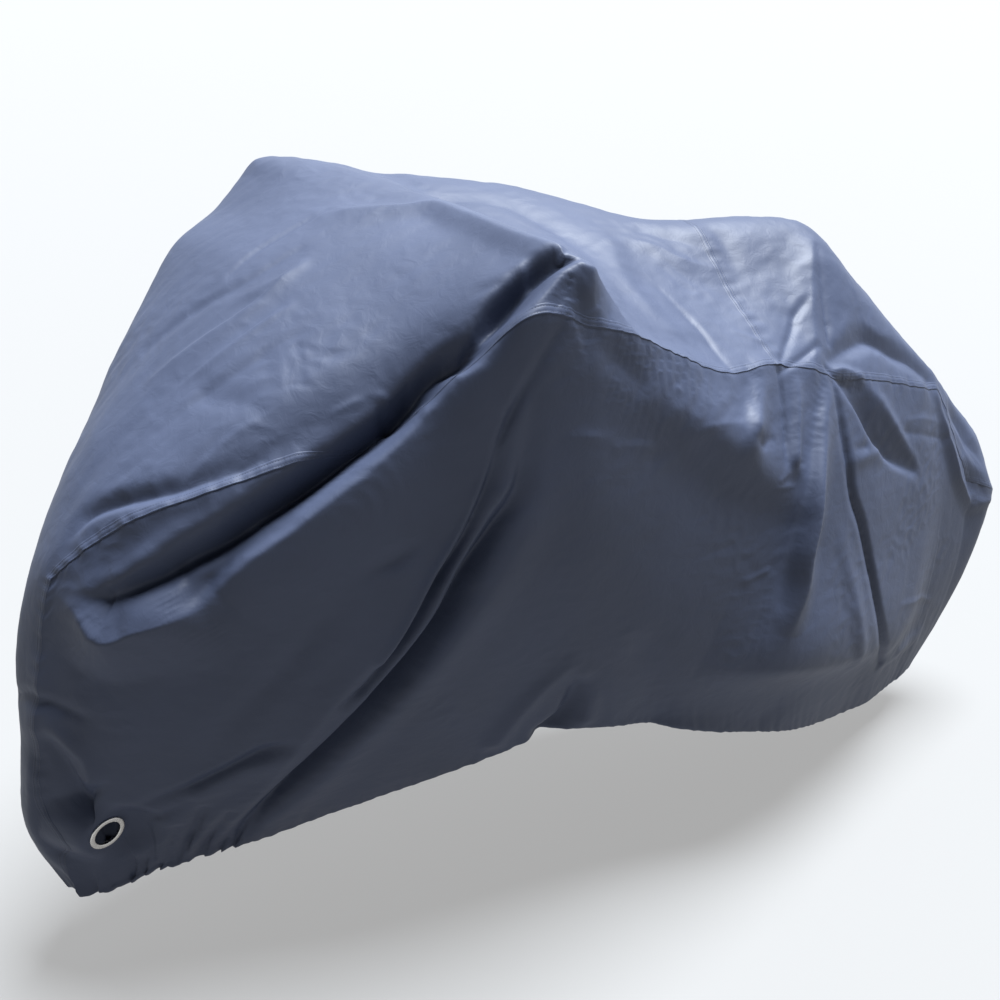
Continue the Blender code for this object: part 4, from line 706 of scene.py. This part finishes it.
def side_sheet(which, stations):
    """A side panel's draped grid, with puckers along its seams, gathers and the turned hem."""
    side, seed = SIDES[which], SEEDS[which]
    down = np.linspace(0, 1, HEIGHT_STEPS + 1) ** TOWARD_SEAM
    places = drape(side.points(stations, down))
    from_seam = lengths_along(places, 0)
    from_front = lengths_along(places, 1)
    lift = pucker(from_seam, seam_arcs(side, stations)[None, :], seed)
    lift -= SEAM_GROOVE * np.exp(-(from_seam / GROOVE_WIDTH) ** 2)
    lift += pucker(from_front, gusset_arcs(side, down)[:, None], seed + GUSSET_SEED)
    to_hem = from_seam[-1] - from_seam
    front = (1 - ease((places[-1, :, 0] - FRONT_END) / FRONT_FADE))[None, :]
    away = ease((np.linalg.norm(places - side.eyelet, axis=-1) - EYELET_OUTER) / EYELET_CLEAR)
    lift += gather(to_hem, from_front[-1][None, :], front, seed + GATHER_SEED) * away
    places = places + outward(places) * lift[..., None]
    waves = ripple(from_front[-1], SCALLOP.length, seed + SCALLOP_SEED)[None, :]
    places[..., 2] += gathered(SCALLOP, waves, to_hem, front)
    return np.concatenate([places, hem_rows(places[-1], places[-2])])


def centre_sheet(rows, first_row_is_hem):
    """A stretch of the centre panel's draped grid, with its puckers and, at the gusset, its hem."""
    places = drape(centre_points(rows, ACROSS_STEPS))
    from_left = lengths_along(places, 1)
    from_front = lengths_along(places, 0)
    lift = np.zeros(places.shape[:2])
    down = np.clip(-rows / GUSSET_ROWS, 0, 1)
    for which, distance in (("left", from_left), ("right", from_left[:, -1:] - from_left)):
        side, seed = SIDES[which], SEEDS[which]
        above = pucker(distance, seam_arcs(side, np.maximum(rows, 0))[:, None], seed)
        below = pucker(distance, gusset_arcs(side, down)[:, None], seed + GUSSET_SEED)
        lift += np.where((rows < 0)[:, None], below, above)
    cross = np.abs(rows - CROSS_SEAM).argmin()
    lift += pucker(np.abs(from_front - from_front[cross]), from_left[cross][None, :], SEEDS["cross"])
    if first_row_is_hem:
        lift += gather(from_front, from_left[0][None, :], GUSSET_TIGHTNESS, SEEDS["hem"])
    places = places + outward(places) * lift[..., None]
    if first_row_is_hem:
        places = np.concatenate([hem_rows(places[0], places[1])[::-1], places])
    return places


def cut_holes(faces, points, side):
    """Leaves out the faces within an eyelet's hole."""
    rise, distance = side.off_eyelet(points)
    inside = (distance < EYELET_HOLE) & (np.abs(rise) < EYELET_FLAT)
    return faces[~inside[faces].any(axis=1)]


def sheet_object(name, places, material, side=None):
    """A grid of places as a mesh, with its lengths as the cloth's own coordinates."""
    faces = grid_faces(*places.shape[:2])
    points = places.reshape(-1, 3)
    if side is not None:
        faces = cut_holes(faces, points, side)
    uv = np.stack([lengths_along(places, 1), lengths_along(places, 0)], -1).reshape(-1, 2)
    normal = np.cross(points[faces[:, 1]] - points[faces[:, 0]], points[faces[:, 3]] - points[faces[:, 0]])
    if (normal * outward(points[faces[:, 0]])).sum() < 0:
        faces = faces[:, ::-1]
    used = np.unique(faces)
    renumber = np.zeros(len(points), int)
    renumber[used] = np.arange(len(used))
    return add_mesh(name, points[used], renumber[faces], material, uv[used])


# ---- seams and sewing
def strip_on(lines, distances):
    """Points at distances from the start of each line of a grid (lines, points, 3)."""
    lengths = lengths_along(lines, 1)
    strip = np.empty((len(lines), len(distances), 3))
    for index, line in enumerate(lines):
        for axis in range(3):
            strip[index, :, axis] = np.interp(distances, lengths[index], line[:, axis])
    return strip


def twice_as_fine(strip):
    """A strip with one more line between each two."""
    finer = np.empty((2 * len(strip) - 1, *strip.shape[1:]))
    finer[::2] = strip
    finer[1::2] = (strip[:-1] + strip[1:]) / 2
    return finer


def sewing_on(lines, seed):
    """The raised band of a felled seam along the start of the lines, and its stitches' ends."""
    distances, heights = np.array(BAND).T
    strip = twice_as_fine(strip_on(lines, np.maximum(distances, 0)))
    arc = lengths_along(strip, 0)[:, :1]
    wave = 1 + BAND_WAVE * ripple(arc, BAND_WAVE_SIZE, seed)
    band = strip + outward(strip) * (heights * wave)[..., None]
    stitches = []
    for row in STITCH_ROWS:
        index = int(np.abs(distances - row).argmin())
        line = band[:, index] + outward(band[:, index]) * THREAD
        length = lengths_along(line, 0)
        starts = np.arange(STITCH_GAP, length[-1] - STITCH, STITCH + STITCH_GAP)
        ends = [np.stack([np.interp(at, length, line[:, axis]) for axis in range(3)], -1)
                for at in (starts, starts + STITCH)]
        stitches.append(np.stack(ends, 1))
    return band, np.concatenate(stitches)


def stitch_mesh(stitches):
    """Each stitch as a slim spindle between its two ends."""
    start, end = stitches[:, 0], stitches[:, 1]
    up = outward(start)
    across = unit(np.cross(unit(end - start), up))
    middle = (start + end) / 2
    ring = [middle + THREAD * STITCH_RISE * up, middle + THREAD * STITCH_SPREAD * across,
            middle - THREAD * up, middle - THREAD * STITCH_SPREAD * across]
    points = np.stack([start - THREAD * up, *ring, end - THREAD * up], 1)
    pattern = np.array([(0, 1, 2), (0, 2, 3), (0, 3, 4), (0, 4, 1),
                        (5, 2, 1), (5, 3, 2), (5, 4, 3), (5, 1, 4)])
    faces = (np.arange(len(stitches))[:, None, None] * 6 + pattern).reshape(-1, 3)
    return points.reshape(-1, 3), faces


def ring_mesh(side):
    """A grommet: a rolled flange on each face of the cloth, and the barrel between them."""
    across = unit(np.cross(side.face, (0.0, 0.0, 1.0)))
    up = np.cross(side.face, across)
    middle, half = (EYELET_OUTER + EYELET_BORE) / 2, (EYELET_OUTER - EYELET_BORE) / 2
    profile = [(middle - half * math.cos(turn), EYELET_SEAT + FLANGE * math.sin(turn) ** ROLL_POWER)
               for turn in np.linspace(0, math.pi, ROLL_STEPS + 1)]
    profile = profile + [(radius, -height) for radius, height in reversed(profile)]
    turns = np.linspace(0, 2 * math.pi, EYELET_STEPS, endpoint=False)
    ways = across * np.cos(turns)[:, None] + up * np.sin(turns)[:, None]
    points = np.array([[side.eyelet + way * radius + side.face * height for radius, height in profile]
                       for way in ways])
    a = np.arange(EYELET_STEPS * len(profile)).reshape(EYELET_STEPS, len(profile))
    b = np.roll(a, -1, axis=1)
    faces = np.stack([a, b, np.roll(b, -1, axis=0), np.roll(a, -1, axis=0)], -1).reshape(-1, 4)
    return points.reshape(-1, 3), faces


# ---- materials
def new_material(name):
    material = bpy.data.materials.new(name)
    material.use_nodes = True
    tree = material.node_tree
    return material, tree, tree.nodes["Principled BSDF"]


def put(target, **values):
    """Sets a node's inputs by name, with _ for a space."""
    for name, value in values.items():
        target.inputs[name.replace("_", " ")].default_value = value
    return target


def node(tree, kind, **values):
    return put(tree.nodes.new("ShaderNode" + kind), **values)


def noise_on(tree, **inputs):
    """A noise that stays with the piece."""
    grain = node(tree, "TexNoise", **inputs)
    place = node(tree, "TexCoord")
    tree.links.new(place.outputs["Object"], grain.inputs["Vector"])
    return grain.outputs["Fac"]


def colour_by(tree, shader, grain, dark, light, ends=(0.0, 1.0)):
    """The colour runs from dark to light with a noise."""
    tone = node(tree, "ValToRGB")
    for element, position, colour in zip(tone.color_ramp.elements, ends, (dark, light)):
        element.position, element.color = position, (*colour, 1)
    tree.links.new(grain, tone.inputs["Fac"])
    tree.links.new(tone.outputs["Color"], shader.inputs["Base Color"])


def roughness_by(tree, shader, grain, low, high):
    """The roughness runs from low to high with a noise."""
    dull = node(tree, "MapRange", To_Min=low, To_Max=high)
    tree.links.new(grain, dull.inputs["Value"])
    tree.links.new(dull.outputs["Result"], shader.inputs["Roughness"])


def cloth_material():
    """Coated polyester: slate cloth with faint cloudiness, fine crinkles and a plain weave."""
    material, tree, shader = new_material("coated polyester")
    link = tree.links.new
    cloud = noise_on(tree, Scale=6.0, Detail=3.0)
    colour_by(tree, shader, cloud, (0.029, 0.0372, 0.066), (0.036, 0.0455, 0.079), (0.3, 0.7))
    roughness_by(tree, shader, cloud, 0.52, 0.62)
    put(shader, Specular_IOR_Level=0.3)
    crinkle = noise_on(tree, Scale=42.0, Detail=5.0, Roughness=0.55, Distortion=0.8)
    bump = node(tree, "Bump", Strength=0.60, Distance=0.0014)
    link(crinkle, bump.inputs["Height"])
    thread = node(tree, "UVMap")
    weave = [node(tree, "TexWave", Scale=310.0) for _ in range(2)]
    weave[1].bands_direction = "Y"
    both = node(tree, "Math")
    for wave, socket in zip(weave, both.inputs):
        link(thread.outputs["UV"], wave.inputs["Vector"])
        link(wave.outputs["Fac"], socket)
    fine = node(tree, "Bump", Strength=0.05, Distance=0.0002)
    link(both.outputs["Value"], fine.inputs["Height"])
    link(bump.outputs["Normal"], fine.inputs["Normal"])
    link(fine.outputs["Normal"], shader.inputs["Normal"])
    return material


def thread_material():
    material, tree, shader = new_material("polyester thread")
    put(shader, Roughness=0.55)
    # The thread is drawn darker than the cloth as painted shade along the sunk stitch rows; the noise varies
    # its tone at random.
    colour_by(tree, shader, noise_on(tree, Scale=300.0), (0.018, 0.020, 0.030), (0.035, 0.040, 0.055))
    return material


def metal_material():
    """Plated eyelet: satin nickel with fine scuffs."""
    material, tree, shader = new_material("plated metal")
    put(shader, Metallic=1.0)
    scuff = noise_on(tree, Scale=220.0, Detail=4.0, Distortion=1.0)
    colour_by(tree, shader, scuff, (0.50, 0.48, 0.46), (0.70, 0.68, 0.65))
    roughness_by(tree, shader, scuff, 0.18, 0.36)
    return material


def add_part(name, points, faces, material, slot):
    piece = add_mesh(name, points, faces, material)
    return piece


def add_seams(runs, cloth, thread):
    """The seams' bands as one piece and their stitches as another, along the edges of the sheets."""
    points, faces, stitches, first = [], [], [], 0
    for seed, lines in enumerate(runs):
        band, sewn = sewing_on(lines, BAND_SEED + seed)
        rows, columns = band.shape[:2]
        points.append(band.reshape(-1, 3))
        faces.append(grid_faces(rows, columns, first))
        first += rows * columns
        stitches.append(sewn)
    return (add_part("seam_bands", np.concatenate(points), np.concatenate(faces), cloth, "cloth"),
            add_part("seam_stitches", *stitch_mesh(np.concatenate(stitches)), thread, "cloth"))


def make_cover():
    cloth, thread, metal = cloth_material(), thread_material(), metal_material()
    stations = even_stations(SIDE_STEPS)
    for fixed in (CROSS_SEAM, TAIL_CORNER):
        stations[np.abs(stations - fixed).argmin()] = fixed
    sides = {which: side_sheet(which, stations) for which in SIDES}
    gusset = np.linspace(-GUSSET_ROWS, 0, GUSSET_STEPS + 1)[:-1]
    crown_rows = np.concatenate([gusset, stations[stations <= CROSS_SEAM]])
    tail_rows = stations[(stations >= CROSS_SEAM) & (stations <= TAIL_CORNER)]
    crown, tail = centre_sheet(crown_rows, True), centre_sheet(tail_rows, False)

    # the seams on the left and right of the centre panel, across it, across the back and down the back
    centre = np.concatenate([crown[HEM_TURN:], tail[1:]])
    runs = [centre, centre[:, ::-1], crown[::-1].transpose(1, 0, 2), tail[::-1].transpose(1, 0, 2),
            sides["left"][:-HEM_TURN, ::-1]]
    seams, sewing = add_seams(runs, cloth, thread)

    pieces = {which: sheet_object("side_" + which, places, cloth, SIDES[which])
              for which, places in sides.items()}
    pieces["crown"] = sheet_object("crown", crown, cloth)
    pieces["tail"] = sheet_object("tail", tail, cloth)
    for which in SIDES:
        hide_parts("side_panel_" + which, "lock_strip_" + which)
        ring = add_part("grommet_" + which, *ring_mesh(SIDES[which]), metal, "eyelet_metal")
        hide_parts("eyelet_ring_" + which)
    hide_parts("crown_panel")
    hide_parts("tail_panel")


# ---- floor, light and camera
def add_floor():
    material, _, shader = new_material("pale floor")
    put(shader, Base_Color=(0.07, 0.07, 0.07, 1), Roughness=0.9)
    put(shader, Emission_Color=(1.0, 1.0, 1.0, 1), Emission_Strength=0.40)
    corners = [(-1, -1), (1, -1), (1, 1), (-1, 1)]
    mesh = bpy.data.meshes.new("floor")
    mesh.from_pydata([(x * FLOOR_HALF, y * FLOOR_HALF, GROUND) for x, y in corners], [], [(0, 1, 2, 3)])
    mesh.materials.append(material)
    floor = new_object("floor", mesh)


def add_room():
    """A studio with a bright wall behind the cover and a dim room in front of it."""
    world = bpy.data.worlds.new("studio")
    world.use_nodes = True
    room = world.node_tree
    way = node(room, "TexCoord")
    part = node(room, "VectorMath")
    part.operation = "DOT_PRODUCT"
    part.inputs[1].default_value = WALL_WAY
    glow = node(room, "MapRange", From_Min=-0.10, From_Max=0.80, To_Min=0.04, To_Max=1.25)
    room.links.new(way.outputs["Generated"], part.inputs[0])
    room.links.new(part.outputs["Value"], glow.inputs["Value"])
    sky = put(room.nodes["Background"], Color=(0.86, 0.92, 1.0, 1))
    room.links.new(glow.outputs["Result"], sky.inputs["Strength"])
    bpy.context.scene.world = world


def add_sun():
    """Soft light from nearly overhead."""
    data = bpy.data.lights.new("key", "SUN")
    data.angle = math.radians(SUN_SPREAD)
    data.energy = SUN_POWER
    data.color = (0.90, 0.95, 1.0)
    x, y, z = SUN_WAY
    new_object("key", data).rotation_euler = (math.atan2(math.hypot(x, y), z), 0, math.atan2(x, -y))


def add_camera():
    data = bpy.data.cameras.new("camera")
    data.sensor_width = SENSOR
    data.lens = LENS
    camera = new_object("camera", data)
    camera.location = CAMERA_PLACE
    camera.rotation_euler = [math.radians(turn) for turn in CAMERA_TURN]
    bpy.context.scene.camera = camera


make_cover()
add_floor()
add_room()
add_sun()
bpy.context.scene.view_settings.view_transform = "Standard"
add_camera()
